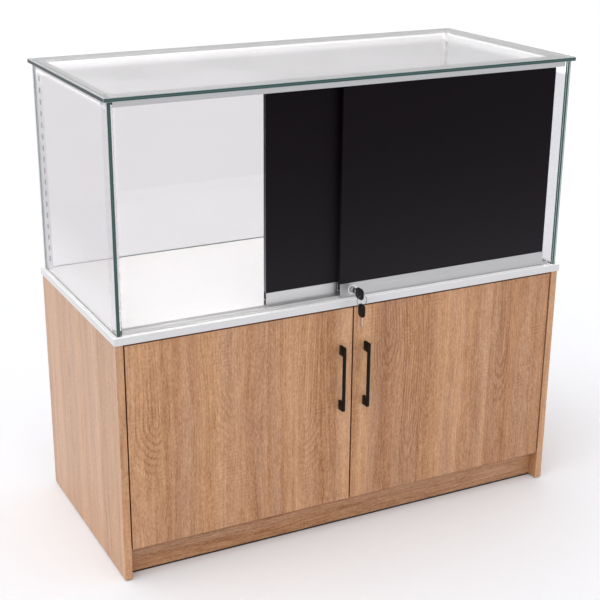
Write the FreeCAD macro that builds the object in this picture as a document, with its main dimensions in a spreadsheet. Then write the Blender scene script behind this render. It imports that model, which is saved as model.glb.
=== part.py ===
import FreeCAD
import Part
import Sketcher
import os

# Driving sizes: lengths in millimetres, angles in degrees, counts as plain numbers.
SIZES = {
    # deck and cupboard boards
    "deck_width": 1060.0,
    "deck_depth": 493.0,
    "deck_thickness": 16.0,
    "deck_overhang": 3.0,
    "deck_edge": 0.8,
    "board_thickness": 16.0,
    "board_edge": 0.5,
    "side_height": 521.0,
    "plinth_setback": 27.5,
    "plinth_lift": 1.0,
    "bottom_height": 50.0,
    "partition_setback": 28.0,
    "stretcher_setback": 28.0,
    "stretcher_depth": 80.0,
    "shelf_setback": 57.0,
    "shelf_height": 290.0,
    "shelf_play": 1.0,
    "shelf_back_play": 4.0,
    # shelf pins and floor glides
    "pin_radius": 2.5,
    "pin_seat": 7.0,
    "pin_reach": 10.0,
    "pin_margin": 37.0,
    "glide_height": 3.0,
    "glide_radius": 7.0,
    "glide_margin": 27.0,
    "nail_radius": 1.2,
    "nail_length": 14.0,
    # cupboard doors
    "door_thickness": 16.0,
    "door_recess": 1.0,
    "door_side_gap": 3.0,
    "door_middle_gap": 3.0,
    "door_top_gap": 4.0,
    "door_lift": 69.5,
    # handles
    "handle_length": 146.5,
    "handle_leg": 20.5,
    "handle_projection": 20.5,
    "handle_bar": 5.0,
    "handle_width": 6.4,
    "handle_corner": 2.0,
    "handle_edge": 0.8,
    "handle_offset": 29.5,
    "handle_drop": 81.0,
    "handle_screw_margin": 10.5,
    "handle_screw_radius": 1.6,
    "handle_screw_bite": 12.0,
    "handle_head_radius": 4.0,
    "handle_head_height": 2.4,
    # concealed hinges
    "hinge_margin": 80.0,
    "pivot_inset": 14.0,
    "pivot_depth": 9.0,
    "cup_radius": 17.5,
    "cup_margin": 5.0,
    "cup_depth": 11.5,
    "cup_wall": 0.8,
    "ear_start": 12.0,
    "ear_end": 26.0,
    "ear_width": 14.0,
    "ear_thickness": 1.2,
    "hinge_pin_radius": 1.5,
    "hinge_pin_length": 28.4,
    "eye_radius": 3.2,
    "arm_thickness": 3.0,
    "arm_height": 12.0,
    "arm_reach": 18.0,
    "arm_rise": 21.0,
    "arm_tail": 60.0,
    "plate_thickness": 3.0,
    "plate_length": 45.0,
    "plate_height": 44.0,
    # glass case
    "glass_thickness": 8.0,
    "glass_edge": 0.6,
    "pane_height": 456.0,
    "pane_inset": 8.0,
    "pane_setback": 6.5,
    "top_margin": 0.5,
    "jamb_thickness": 4.0,
    "jamb_depth": 36.0,
    "jamb_setback": 8.0,
    # slotted standards
    "standard_size": 12.0,
    "standard_wall": 1.5,
    "slot_length": 12.0,
    "slot_width": 3.5,
    "slot_pitch": 25.0,
    "slot_start": 19.0,
    "slot_count": 17,
    # lights
    "light_size": 12.0,
    "light_wall": 1.2,
    "light_front_gap": 2.0,
    "cap_thickness": 1.5,
    "diffuser_foot": 1.6,
    "led_board_thickness": 1.2,
    "led_board_margin": 2.0,
    "led_board_width": 5.6,
    "driver_length": 120.0,
    "driver_width": 40.0,
    "driver_height": 22.0,
    "driver_side_margin": 210.0,
    "driver_setback": 150.0,
    # tracks
    "track_setback": 10.5,
    "track_wall": 1.5,
    "top_track_height": 12.0,
    "track_base": 1.2,
    "ridge_width": 2.0,
    "ridge_height": 5.0,
    "track_lip_height": 2.6,
    "track_lip_width": 1.0,
    # sliding doors
    "panel_overlap": 16.0,
    "rail_thickness": 13.0,
    "rail_height": 30.0,
    "rail_wall": 1.5,
    "rail_lift": 2.0,
    "rail_web_height": 14.0,
    "rail_side_gap": 1.0,
    "rail_gap": 4.0,
    "panel_top_gap": 4.5,
    "panel_edge": 0.4,
    "outer_opening": 21.0,
    "inner_peep": 162.5,
    # rollers
    "roller_margin": 60.0,
    "tread_radius": 4.5,
    "tread_width": 2.6,
    "flange_radius": 5.5,
    "roller_width": 5.0,
    "axle_radius": 1.5,
    "axle_cover": 0.7,
    "roll_gap": 0.3,
    # lock
    "fit_gap": 0.05,
    "lock_offset": 29.0,
    "rosette_radius": 11.0,
    "rosette_thickness": 2.0,
    "rosette_edge": 0.7,
    "barrel_radius": 8.0,
    "barrel_gap": 0.15,
    "plunger_radius": 6.0,
    "plunger_reach": 11.0,
    "plunger_rear_gap": 2.5,
    "plunger_edge": 0.5,
    "collar_radius": 6.7,
    "collar_length": 2.0,
    "collar_gap": 0.2,
    "chamber_front": 1.5,
    "chamber_rear": 2.0,
    "plug_radius": 4.0,
    "plug_proud": 0.5,
    "plug_floor": 1.6,
    "plug_end_gap": 0.2,
    "keyway_gap": 0.1,
    "strike_thickness": 3.0,
    "strike_height": 16.0,
    "strike_hold": 12.0,
    "strike_reach": 5.0,
    # keys and ring
    "blade_width": 6.5,
    "blade_thickness": 2.0,
    "blade_length": 22.0,
    "tang_length": 10.0,
    "key_stand": 3.5,
    "bow_length": 28.0,
    "bow_width": 23.0,
    "bow_thickness": 5.0,
    "bow_corner": 5.0,
    "bow_edge": 0.8,
    "hole_radius": 2.5,
    "hole_margin": 4.0,
    "ring_radius": 11.0,
    "wire_radius": 0.8,
    "ring_sink": 0.9,
    # how far a cutting tool runs past the face it cuts
    "overrun": 1.0,
}


class Size:
    """A length with its number and the expression that binds it to the sheet."""

    def __init__(self, value, text):
        self.value = value
        self.text = text

    def joined(self, sign, other, value):
        return Size(value, "(%s %s %s)" % (self.text, sign, other.text))

    def __add__(self, other):
        other = as_size(other)
        return self.joined("+", other, self.value + other.value)

    def __sub__(self, other):
        other = as_size(other)
        return self.joined("-", other, self.value - other.value)

    def __mul__(self, other):
        other = as_size(other)
        return self.joined("*", other, self.value * other.value)

    def __truediv__(self, other):
        other = as_size(other)
        return self.joined("/", other, self.value / other.value)

    def __neg__(self):
        return as_size(0) - self


def as_size(item):
    if isinstance(item, Size):
        return item
    return Size(float(item), str(item))


class SheetSizes:
    """Reads each alias of the sheet as a Size."""

    def __getattr__(self, alias):
        return Size(float(sheet.get(alias)), "Sizes." + alias)


doc = FreeCAD.newDocument("glass_display_counter")
sheet = doc.addObject("Spreadsheet::Sheet", "Sizes")
for row, (alias, number) in enumerate(SIZES.items(), start=1):
    sheet.set("A%d" % row, alias)
    sheet.set("B%d" % row, str(number))
    sheet.setAlias("B%d" % row, alias)
doc.recompute()
s = SheetSizes()
ZERO = as_size(0)
ALONG = {
    "x": FreeCAD.Rotation(FreeCAD.Vector(0, 1, 0), 90),
    "y": FreeCAD.Rotation(FreeCAD.Vector(1, 0, 0), -90),
    "z": FreeCAD.Rotation(),
}


def bind(item, path, size):
    item.setExpression(path, as_size(size).text)


def place(item, x, y, z):
    for axis, size in zip("xyz", (x, y, z)):
        bind(item, "Placement.Base." + axis, size)


def slab(label, x, y, z):
    """A rectangular block between two limits on each axis."""
    block = doc.addObject("Part::Box", label)
    for side, (low, high) in zip(("Length", "Width", "Height"), (x, y, z)):
        bind(block, side, high - low)
    place(block, x[0], y[0], z[0])
    return block


def rod(label, radius, length, axis, x, y, z):
    """A cylinder that starts at a point and runs along one axis."""
    cylinder = doc.addObject("Part::Cylinder", label)
    bind(cylinder, "Radius", radius)
    bind(cylinder, "Height", length)
    cylinder.Placement = FreeCAD.Placement(FreeCAD.Vector(), ALONG[axis])
    place(cylinder, x, y, z)
    return cylinder


def rod_y(label, radius, start, end, x, z):
    """A cylinder along Y between two depths."""
    return rod(label, radius, end - start, "y", x, start, z)


def fuse(label, shapes):
    joined = doc.addObject("Part::MultiFuse", label)
    joined.Shapes = shapes
    joined.Refine = True
    return joined


def cut(label, base, tools):
    result = doc.addObject("Part::Cut", label)
    result.Base = base
    result.Tool = tools[0] if len(tools) == 1 else fuse(label + "_tools", tools)
    result.Refine = True
    return result


def group(label, shapes):
    """Separate solids that share one node."""
    together = doc.addObject("Part::Compound", label)
    together.Links = shapes
    return together


def mirrored(label, source):
    """The same piece on the other side of the middle plane."""
    copy = doc.addObject("Part::Mirroring", label)
    copy.Source = source
    copy.Normal = FreeCAD.Vector(1, 0, 0)
    return copy


def plane_of(body, role):
    return [item for item in body.Origin.OriginFeatures if item.Role == role][0]


def sketch_on(body, role, label):
    sketch = body.newObject("Sketcher::SketchObject", label)
    sketch.AttachmentSupport = [(plane_of(body, role), "")]
    sketch.MapMode = "FlatFace"
    return sketch


def pin_point(sketch, line, point):
    """Fixes the start of a line by its two distances from the sketch origin."""
    for kind, axis, size in (("DistanceX", -2, point[0]), ("DistanceY", -1, point[1])):
        if size.value == 0:
            sketch.addConstraint(Sketcher.Constraint("PointOnObject", line, 1, axis))
            continue
        rule = Sketcher.Constraint(kind, -1, 1, line, 1, size.value)
        bind(sketch, "Constraints[%d]" % sketch.addConstraint(rule), size)


def draw_loop(sketch, points):
    """Draws one closed outline of straight lines through sized points."""
    points = [(as_size(u), as_size(v)) for u, v in points]
    first = sketch.GeometryCount
    ends = [FreeCAD.Vector(u.value, v.value, 0) for u, v in points]
    count = len(points)
    for index in range(count):
        sketch.addGeometry(Part.LineSegment(ends[index], ends[(index + 1) % count]), False)
    for index in range(count):
        following = first + (index + 1) % count
        sketch.addConstraint(Sketcher.Constraint("Coincident", first + index, 2, following, 1))
    for index, point in enumerate(points):
        pin_point(sketch, first + index, point)


def prism(label, role, loops, length):
    """A body padded from an outline on one of its own planes."""
    body = doc.addObject("PartDesign::Body", label)
    sketch = sketch_on(body, role, label + "_outline")
    for loop in loops:
        draw_loop(sketch, loop)
    pad = body.newObject("PartDesign::Pad", label + "_pad")
    pad.Profile = sketch
    bind(pad, "Length", length)
    return body


def ease_edges(body, size):
    """Chamfers every edge of the body so far."""
    doc.recompute()
    base = body.Tip
    chamfer = body.newObject("PartDesign::Chamfer", body.Label + "_edges")
    chamfer.Base = (base, ["Edge%d" % (n + 1) for n in range(len(base.Shape.Edges))])
    bind(chamfer, "Size", size)
    return body


def box_outline(width, height):
    return [(ZERO, ZERO), (width, ZERO), (width, height), (ZERO, height)]


def board(label, x, y, z, edge):
    """A flat board with eased edges between two limits on each axis."""
    body = prism(label, "XY_Plane", [box_outline(x[1] - x[0], y[1] - y[0])], z[1] - z[0])
    ease_edges(body, edge)
    place(body, x[0], y[0], z[0])
    return body


# Main levels and planes
half = s.deck_width / 2
deck_bottom = s.glide_height + s.side_height
deck_top = deck_bottom + s.deck_thickness
glass_top = deck_top + s.pane_height
chain = s.rosette_thickness + s.plunger_reach + s.plug_proud + s.key_stand + s.bow_length
key_hole_front = chain - s.hole_margin - s.track_setback - s.rail_side_gap
front_reach = key_hole_front + s.bow_width / 2
front = (front_reach - s.deck_depth) / 2
back = front + s.deck_depth
wood_half = half - s.deck_overhang
inner_half = wood_half - s.board_thickness
wood_front = front + s.deck_overhang
wood_back = back - s.deck_overhang
rear_face = wood_back - s.board_thickness
board_front = wood_front + s.plinth_setback
bottom_low = s.glide_height + s.bottom_height
bottom_high = bottom_low + s.board_thickness
stretcher_low = deck_bottom - s.board_thickness
inside = (-inner_half, inner_half)

# Cupboard boards
deck_board = board("deck_board", (-half, half), (front, back), (deck_bottom, deck_top), s.deck_edge)
bottom_board = board("bottom_board", inside, (board_front, rear_face), (bottom_low, bottom_high), s.board_edge)
rear_panel = board("rear_panel", inside, (rear_face, wood_back), (s.glide_height, deck_bottom), s.board_edge)
front_plinth = board(
    "front_plinth",
    inside,
    (board_front, board_front + s.board_thickness),
    (s.glide_height - s.plinth_lift, bottom_low),
    s.board_edge,
)
stretcher_front = wood_front + s.stretcher_setback
front_stretcher = board(
    "front_stretcher",
    inside,
    (stretcher_front, stretcher_front + s.stretcher_depth),
    (stretcher_low, deck_bottom),
    s.board_edge,
)
rear_stretcher = board(
    "rear_stretcher",
    inside,
    (rear_face - s.stretcher_depth, rear_face),
    (stretcher_low, deck_bottom),
    s.board_edge,
)
partition_half = s.board_thickness / 2
partition_blank = board(
    "partition_blank",
    (-partition_half, partition_half),
    (wood_front + s.partition_setback, rear_face),
    (bottom_high, stretcher_low),
    s.board_edge,
)

# Shelves on pins
shelf_front = wood_front + s.shelf_setback
shelf_back = rear_face - s.shelf_back_play
shelf_x = (-inner_half + s.shelf_play, -partition_half - s.shelf_play)
shelf_z = (s.shelf_height, s.shelf_height + s.board_thickness)
left_shelf = board("left_shelf", shelf_x, (shelf_front, shelf_back), shelf_z, s.board_edge)
right_shelf = mirrored("right_shelf", left_shelf)
pin_z = s.shelf_height - s.pin_radius
pin_places = (("front", shelf_front + s.pin_margin), ("back", shelf_back - s.pin_margin))
left_pins = []
side_bores = []
partition_bores = []
for name, pin_y in pin_places:
    length = s.pin_seat + s.pin_reach
    side_start = -inner_half - s.pin_seat
    middle_start = -partition_half - s.pin_reach
    bore_radius = s.pin_radius + s.fit_gap
    bore_length = s.pin_seat + s.overrun
    left_pins.append(rod("side_pin_" + name, s.pin_radius, length, "x", side_start, pin_y, pin_z))
    left_pins.append(rod("middle_pin_" + name, s.pin_radius, length, "x", middle_start, pin_y, pin_z))
    side_bores.append(rod("side_bore_" + name, bore_radius, bore_length, "x", side_start, pin_y, pin_z))
    bore_start = -partition_half - s.overrun
    bore = rod("middle_bore_" + name, bore_radius, bore_length, "x", bore_start, pin_y, pin_z)
    partition_bores.append(bore)
    partition_bores.append(mirrored("middle_bore_right_" + name, bore))
left_pin_group = group("left_shelf_pins", left_pins)
shelf_pins = group("shelf_pins", [left_pin_group, mirrored("right_shelf_pins", left_pin_group)])
centre_partition = cut("centre_partition", partition_blank, partition_bores)

# Side panels on nailed glides
glide_x = -wood_half + s.board_thickness / 2
left_glides = []
nail_bores = []
for name, glide_y in (("front", wood_front + s.glide_margin), ("back", wood_back - s.glide_margin)):
    pad = rod("glide_pad_" + name, s.glide_radius, s.glide_height, "z", glide_x, glide_y, ZERO)
    nail_top = s.glide_height + s.nail_length
    nail = rod("glide_nail_" + name, s.nail_radius, nail_top, "z", glide_x, glide_y, ZERO)
    left_glides.append(fuse("glide_" + name, [pad, nail]))
    nail_bores.append(
        rod("nail_bore_" + name, s.nail_radius + s.fit_gap, nail_top, "z", glide_x, glide_y, ZERO)
    )
left_glide_group = group("left_glides", left_glides)
floor_glides = group("floor_glides", [left_glide_group, mirrored("right_glides", left_glide_group)])
side_blank = board(
    "side_blank",
    (-wood_half, -inner_half),
    (wood_front, wood_back),
    (s.glide_height, deck_bottom),
    s.board_edge,
)
left_side_panel = cut("left_side_panel", side_blank, side_bores + nail_bores)
right_side_panel = mirrored("right_side_panel", left_side_panel)

# Cupboard doors with cup bores and handle screw bores
door_left = -inner_half + s.door_side_gap
door_right = -s.door_middle_gap / 2
door_front = wood_front + s.door_recess
door_back = door_front + s.door_thickness
door_top = deck_bottom - s.door_top_gap
pivot_x = door_left + s.pivot_inset
pivot_y = door_front + s.pivot_depth
cup_x = door_left + s.cup_margin + s.cup_radius
cup_floor = door_back - s.cup_depth
hinge_levels = (("low", s.door_lift + s.hinge_margin), ("high", door_top - s.hinge_margin))
door_blank = board(
    "door_blank", (door_left, door_right), (door_front, door_back), (s.door_lift, door_top), s.board_edge
)
door_bores = []
cups = []
hinge_pins = []
plates = []
arms = []
for name, level in hinge_levels:
    door_bores.append(rod_y("cup_bore_" + name, s.cup_radius, cup_floor, door_back + s.overrun, cup_x, level))
    cup_shell = rod_y("cup_shell_" + name, s.cup_radius, cup_floor, door_back, cup_x, level)
    cup_room_radius = s.cup_radius - s.cup_wall
    cup_room = rod_y(
        "cup_room_" + name, cup_room_radius, cup_floor + s.cup_wall, door_back + s.overrun, cup_x, level
    )
    cup_ears = []
    for side, low, high in (("up", s.ear_start, s.ear_end), ("down", -s.ear_end, -s.ear_start)):
        ear = slab(
            "cup_ear_" + name + "_" + side,
            (cup_x - s.ear_width / 2, cup_x + s.ear_width / 2),
            (door_back, door_back + s.ear_thickness),
            (level + low, level + high),
        )
        cup_ears.append(ear)
    pin_low = level - s.hinge_pin_length / 2
    hinge_pin = rod(
        "hinge_pin_" + name, s.hinge_pin_radius, s.hinge_pin_length, "z", pivot_x, pivot_y, pin_low
    )
    pin_bore_radius = s.hinge_pin_radius + s.fit_gap
    pin_bore = rod(
        "pin_bore_" + name, pin_bore_radius, s.cup_radius * 2, "z", pivot_x, pivot_y, level - s.cup_radius
    )
    cup_blank = cut("cup_blank_" + name, cup_shell, [cup_room])
    cups.append(cut("cup_" + name, fuse("cup_with_ears_" + name, [cup_blank] + cup_ears), [pin_bore]))
    hinge_pins.append(hinge_pin)
    arm_front = pivot_y + s.arm_rise - s.arm_thickness
    plate_face = -inner_half + s.plate_thickness
    plate_low = level - s.plate_height / 2
    plates.append(
        slab(
            "hinge_plate_" + name,
            (-inner_half, plate_face),
            (arm_front, arm_front + s.plate_length),
            (plate_low, plate_low + s.plate_height),
        )
    )
    arm_low = level - s.arm_height / 2
    arm_z = (arm_low, arm_low + s.arm_height)
    arm_half = s.arm_thickness / 2
    arm_end = pivot_x + s.arm_reach
    eye = rod("arm_eye_" + name, s.eye_radius, s.arm_height, "z", pivot_x, pivot_y, arm_low)
    eye_bore_start = arm_low - s.overrun
    eye_bore_length = s.arm_height + s.overrun * 2
    eye_bore = rod(
        "arm_eye_bore_" + name, pin_bore_radius, eye_bore_length, "z", pivot_x, pivot_y, eye_bore_start
    )
    runs = (
        ("tongue", (pivot_x, arm_end), (pivot_y - arm_half, pivot_y + arm_half)),
        ("rise", (arm_end - s.arm_thickness, arm_end), (pivot_y - arm_half, pivot_y + s.arm_rise)),
        ("bridge", (plate_face, arm_end), (arm_front, pivot_y + s.arm_rise)),
        ("tail", (plate_face, plate_face + s.arm_thickness), (arm_front, pivot_y + s.arm_tail)),
    )
    bars = [slab("arm_" + part + "_" + name, x, y, arm_z) for part, x, y in runs]
    arms.append(cut("hinge_arm_" + name, fuse("arm_blank_" + name, [eye] + bars), [eye_bore]))
left_hinge_cups = group("left_hinge_cups", cups)
right_hinge_cups = mirrored("right_hinge_cups", left_hinge_cups)
left_hinge_pins = group("left_hinge_pins", hinge_pins)
right_hinge_pins = mirrored("right_hinge_pins", left_hinge_pins)
left_plate_group = group("left_hinge_plates", plates)
hinge_plates = group("hinge_plates", [left_plate_group, mirrored("right_hinge_plates", left_plate_group)])
left_arm_group = group("left_hinge_arms", arms)
hinge_arms = group("hinge_arms", [left_arm_group, mirrored("right_hinge_arms", left_arm_group)])

# Bow handles, screwed on from inside the doors
handle_x = -s.handle_offset
handle_high = door_top - s.handle_drop
handle_low = handle_high - s.handle_length
grip = s.handle_projection
corner = s.handle_corner
handle_loop = [
    (corner, ZERO),
    (grip, ZERO),
    (grip, s.handle_leg),
    (s.handle_bar, s.handle_leg),
    (s.handle_bar, s.handle_length - s.handle_leg),
    (grip, s.handle_length - s.handle_leg),
    (grip, s.handle_length),
    (corner, s.handle_length),
    (ZERO, s.handle_length - corner),
    (ZERO, corner),
]
handle_blank = prism("handle_blank", "YZ_Plane", [handle_loop], s.handle_width)
ease_edges(handle_blank, s.handle_edge)
place(handle_blank, handle_x - s.handle_width / 2, door_front - grip, handle_low)
screws = []
handle_bores = []
for name, level in (
    ("low", handle_low + s.handle_screw_margin),
    ("high", handle_high - s.handle_screw_margin),
):
    tip = door_front - s.handle_screw_bite
    shank = rod_y("handle_shank_" + name, s.handle_screw_radius, tip, door_back, handle_x, level)
    head_end = door_back + s.handle_head_height
    head = rod_y("handle_head_" + name, s.handle_head_radius, door_back, head_end, handle_x, level)
    screws.append(fuse("handle_screw_" + name, [shank, head]))
    bore_radius = s.handle_screw_radius + s.fit_gap
    screw_bore = rod_y("screw_bore_" + name, bore_radius, tip, door_back + s.overrun, handle_x, level)
    handle_bores.append(screw_bore)
left_handle = cut("left_handle", handle_blank, handle_bores)
right_handle = mirrored("right_handle", left_handle)
left_handle_screws = group("left_handle_screws", screws)
right_handle_screws = mirrored("right_handle_screws", left_handle_screws)
left_door = cut("left_door", door_blank, door_bores + handle_bores)
right_door = mirrored("right_door", left_door)

# Glass panes
pane_outer = half - s.pane_inset
pane_inner = pane_outer - s.glass_thickness
pane_front = front + s.pane_setback
rear_outer = back - s.pane_inset
rear_inner = rear_outer - s.glass_thickness
pane_z = (deck_top, glass_top)
left_glass = board("left_glass", (-pane_outer, -pane_inner), (pane_front, rear_inner), pane_z, s.glass_edge)
right_glass = mirrored("right_glass", left_glass)
rear_glass = board("rear_glass", (-pane_outer, pane_outer), (rear_inner, rear_outer), pane_z, s.glass_edge)
top_half = half - s.top_margin
top_glass = board(
    "top_glass",
    (-top_half, top_half),
    (front + s.top_margin, back - s.top_margin),
    (glass_top, glass_top + s.glass_thickness),
    s.glass_edge,
)

# Jamb strips beside the side panes
track_half = pane_inner - s.jamb_thickness
jamb_front = front + s.jamb_setback
left_jamb = slab("left_jamb", (-pane_inner, -track_half), (jamb_front, jamb_front + s.jamb_depth), pane_z)
jamb_strips = group("jamb_strips", [left_jamb, mirrored("right_jamb", left_jamb)])

# Sliding door planes
track_front = front + s.track_setback
outer_front = track_front + s.rail_side_gap
inner_front = outer_front + s.rail_thickness + s.rail_gap
track_depth = (s.rail_side_gap + s.rail_thickness) * 2 + s.rail_gap
track_length = track_half * 2
outer_centre = s.rail_side_gap + s.rail_thickness / 2
inner_centre = track_depth - outer_centre

# Top track with two channels
wall = s.track_wall
ceiling = s.top_track_height - wall
middle_low = (track_depth - wall) / 2
middle_high = middle_low + wall
top_loop = [
    (ZERO, ZERO),
    (wall, ZERO),
    (wall, ceiling),
    (middle_low, ceiling),
    (middle_low, ZERO),
    (middle_high, ZERO),
    (middle_high, ceiling),
    (track_depth - wall, ceiling),
    (track_depth - wall, ZERO),
    (track_depth, ZERO),
    (track_depth, s.top_track_height),
    (ZERO, s.top_track_height),
]
top_track = prism("top_track", "YZ_Plane", [top_loop], track_length)
place(top_track, -track_half, track_front, glass_top - s.top_track_height)

# Bottom track with two roller ridges and a rear lip
base = s.track_base
ridge = s.ridge_width / 2
bottom_loop = [
    (ZERO, ZERO),
    (track_depth, ZERO),
    (track_depth, s.track_lip_height),
    (track_depth - s.track_lip_width, s.track_lip_height),
    (track_depth - s.track_lip_width, base),
]
for centre in (inner_centre, outer_centre):
    bottom_loop += [
        (centre + ridge, base),
        (centre + ridge, s.ridge_height),
        (centre - ridge, s.ridge_height),
        (centre - ridge, base),
    ]
bottom_loop.append((ZERO, base))
bottom_track = prism("bottom_track", "YZ_Plane", [bottom_loop], track_length)
place(bottom_track, -track_half, track_front, deck_top)

# Slotted standards in the rear corners
standard_length = s.pane_height - s.light_size
tube_wall = s.standard_wall
tube_inside = s.standard_size - tube_wall
tube_loop = [
    (tube_wall, tube_wall),
    (tube_inside, tube_wall),
    (tube_inside, tube_inside),
    (tube_wall, tube_inside),
]
standard_section = [box_outline(s.standard_size, s.standard_size), tube_loop]
left_standard = prism("left_standard", "XY_Plane", standard_section, standard_length)
slot_left = (s.standard_size - s.slot_width) / 2
slot_right = slot_left + s.slot_width
slot_end = s.slot_start + s.slot_length
slot_sketch = sketch_on(left_standard, "XZ_Plane", "slot_outline")
slot_loop = [
    (slot_left, s.slot_start),
    (slot_right, s.slot_start),
    (slot_right, slot_end),
    (slot_left, slot_end),
]
draw_loop(slot_sketch, slot_loop)
slot = left_standard.newObject("PartDesign::Pocket", "slot")
slot.Profile = slot_sketch
bind(slot, "Length", tube_wall + s.overrun)
doc.recompute()
slot_row = left_standard.newObject("PartDesign::LinearPattern", "slot_row")
slot_row.Originals = [slot]
slot_row.Direction = (slot_sketch, ["V_Axis"])
bind(slot_row, "Occurrences", s.slot_count)
bind(slot_row, "Length", s.slot_pitch * (s.slot_count - 1))
left_standard.Tip = slot_row
place(left_standard, -pane_inner, rear_inner - s.standard_size, deck_top)
right_standard = mirrored("right_standard", left_standard)

# Corner lights: an angle channel, a strip of lamps on its web and a slanted diffuser, seen from the front end
lamp = s.light_size
skin = s.light_wall
foot = s.diffuser_foot
lamp_side = skin + s.led_board_thickness
lamp_top = lamp - skin - s.led_board_margin
angle_loop = [
    (ZERO, ZERO),
    (skin, ZERO),
    (skin, lamp - skin),
    (lamp, lamp - skin),
    (lamp, lamp),
    (ZERO, lamp),
]
diffuser_loop = [
    (skin, ZERO),
    (lamp, lamp - skin),
    (lamp - foot, lamp - skin),
    (skin, foot),
]
lamp_loop = [
    (skin, lamp_top - s.led_board_width),
    (lamp_side, lamp_top - s.led_board_width),
    (lamp_side, lamp_top),
    (skin, lamp_top),
]
cap_loop = box_outline(lamp, lamp)
light_low = glass_top - lamp
side_front = jamb_front + s.jamb_depth + s.light_front_gap
side_rear = rear_inner - lamp
side_start = side_front + s.cap_thickness
side_stop = side_rear - s.cap_thickness
rear_start = -pane_inner + s.cap_thickness


def side_run(label, loop, start, stop):
    """A light section along the left pane between two depths."""
    run = prism(label, "XZ_Plane", [loop], stop - start)
    place(run, -pane_inner, stop, light_low)
    return run


def rear_run(label, loop, start, stop):
    """A light section along the rear pane between two widths, its web on the glass."""
    turned = [(lamp - as_size(u), v) for u, v in loop]
    run = prism(label, "YZ_Plane", [turned], stop - start)
    place(run, start, side_rear, light_low)
    return run


light_nodes = []
for label, loop in (
    ("light_channels", angle_loop),
    ("light_diffusers", diffuser_loop),
    ("led_boards", lamp_loop),
):
    left_run = side_run(label + "_left", loop, side_start, side_stop)
    right_run = mirrored(label + "_right", left_run)
    back_run = rear_run(label + "_back", loop, rear_start, -rear_start)
    light_nodes.append(group(label, [left_run, right_run, back_run]))
left_caps = group(
    "left_caps",
    [
        side_run("cap_front", cap_loop, side_front, side_start),
        side_run("cap_rear", cap_loop, side_stop, side_rear),
        rear_run("cap_corner", cap_loop, -pane_inner, rear_start),
    ],
)
light_end_caps = group("light_end_caps", [left_caps, mirrored("right_caps", left_caps)])
driver_left = -inner_half + s.driver_side_margin
driver_front = wood_front + s.driver_setback
led_driver = board(
    "led_driver",
    (driver_left, driver_left + s.driver_length),
    (driver_front, driver_front + s.driver_width),
    (deck_bottom - s.driver_height, deck_bottom),
    s.board_edge,
)

# Sliding doors: rail, panel, axles and rollers
rail_low = deck_top + s.rail_lift
rail_high = rail_low + s.rail_height
rail_skin = s.rail_wall
sliding_width = track_half + s.panel_overlap / 2
rail_back = s.rail_thickness - rail_skin
web_top = s.rail_web_height + rail_skin
panel_low = rail_low + web_top
panel_high = glass_top - s.track_wall - s.panel_top_gap
axle_z = deck_top + s.ridge_height + s.roll_gap + s.tread_radius
lock_z = rail_low + s.rail_height / 2
rail_loop = [
    (ZERO, ZERO),
    (rail_skin, ZERO),
    (rail_skin, s.rail_web_height),
    (rail_back, s.rail_web_height),
    (rail_back, ZERO),
    (s.rail_thickness, ZERO),
    (s.rail_thickness, s.rail_height),
    (rail_back, s.rail_height),
    (rail_back, web_top),
    (rail_skin, web_top),
    (rail_skin, s.rail_height),
    (ZERO, s.rail_height),
]


def make_roller(label, x, y_centre):
    """A grooved roller turned on the Y axis, bored for its axle."""
    low = y_centre - s.roller_width / 2
    high = y_centre + s.roller_width / 2
    tread_low = y_centre - s.tread_width / 2
    tread_high = y_centre + s.tread_width / 2
    front_flange = rod_y(label + "_front_flange", s.flange_radius, low, tread_low, x, axle_z)
    rear_flange = rod_y(label + "_rear_flange", s.flange_radius, tread_high, high, x, axle_z)
    tread = rod_y(label + "_tread", s.tread_radius, low, high, x, axle_z)
    bore = rod_y(label + "_bore", s.axle_radius + s.fit_gap, low - s.overrun, high + s.overrun, x, axle_z)
    return cut(label, fuse(label + "_blank", [front_flange, tread, rear_flange]), [bore])


def make_sliding_door(name, left, rail_front, openings):
    """One sliding door without its lock pieces; openings are cut through rail and panel."""
    right = left + sliding_width
    rail = prism(name + "_rail_bar", "YZ_Plane", [rail_loop], sliding_width)
    place(rail, left, rail_front, rail_low)
    panel_y = (rail_front + rail_skin, rail_front + rail_back)
    panel = board(name + "_panel_sheet", (left, right), panel_y, (panel_low, panel_high), s.panel_edge)
    centre = rail_front + s.rail_thickness / 2
    axle_start = rail_front + s.axle_cover
    axle_stop = rail_front + s.rail_thickness - s.axle_cover
    axles = []
    axle_bores = []
    rollers = []
    for side, x in (("left", left + s.roller_margin), ("right", right - s.roller_margin)):
        axles.append(rod_y(name + "_axle_" + side, s.axle_radius, axle_start, axle_stop, x, axle_z))
        for end, start, stop in (
            ("front", axle_start, rail_front + rail_skin),
            ("rear", rail_front + rail_back, axle_stop),
        ):
            seat = rod_y(name + "_axle_seat_" + side + end, s.axle_radius, start, stop, x, axle_z)
            axle_bores.append(seat)
        rollers.append(make_roller(name + "_" + side + "_roller", x, centre))
    cut_rail = cut(name + "_door_rail", rail, axle_bores + openings)
    cut_panel = panel
    if openings:
        cut_panel = cut(name + "_door_panel", panel, openings)
    else:
        panel.Label = name + "_door_panel"
    return [cut_rail, cut_panel, group(name + "_roller_axles", axles)] + rollers


outer_left = track_half - s.outer_opening - sliding_width
inner_left = outer_left - s.inner_peep
lock_x = outer_left + s.lock_offset
outer_back = outer_front + s.rail_thickness
lock_opening = rod_y(
    "lock_opening",
    s.barrel_radius + s.barrel_gap,
    outer_front - s.overrun,
    outer_back + s.overrun,
    lock_x,
    lock_z,
)
outer_pieces = make_sliding_door("outer", outer_left, outer_front, [lock_opening])
inner_pieces = make_sliding_door("inner", inner_left, inner_front, [])

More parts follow.
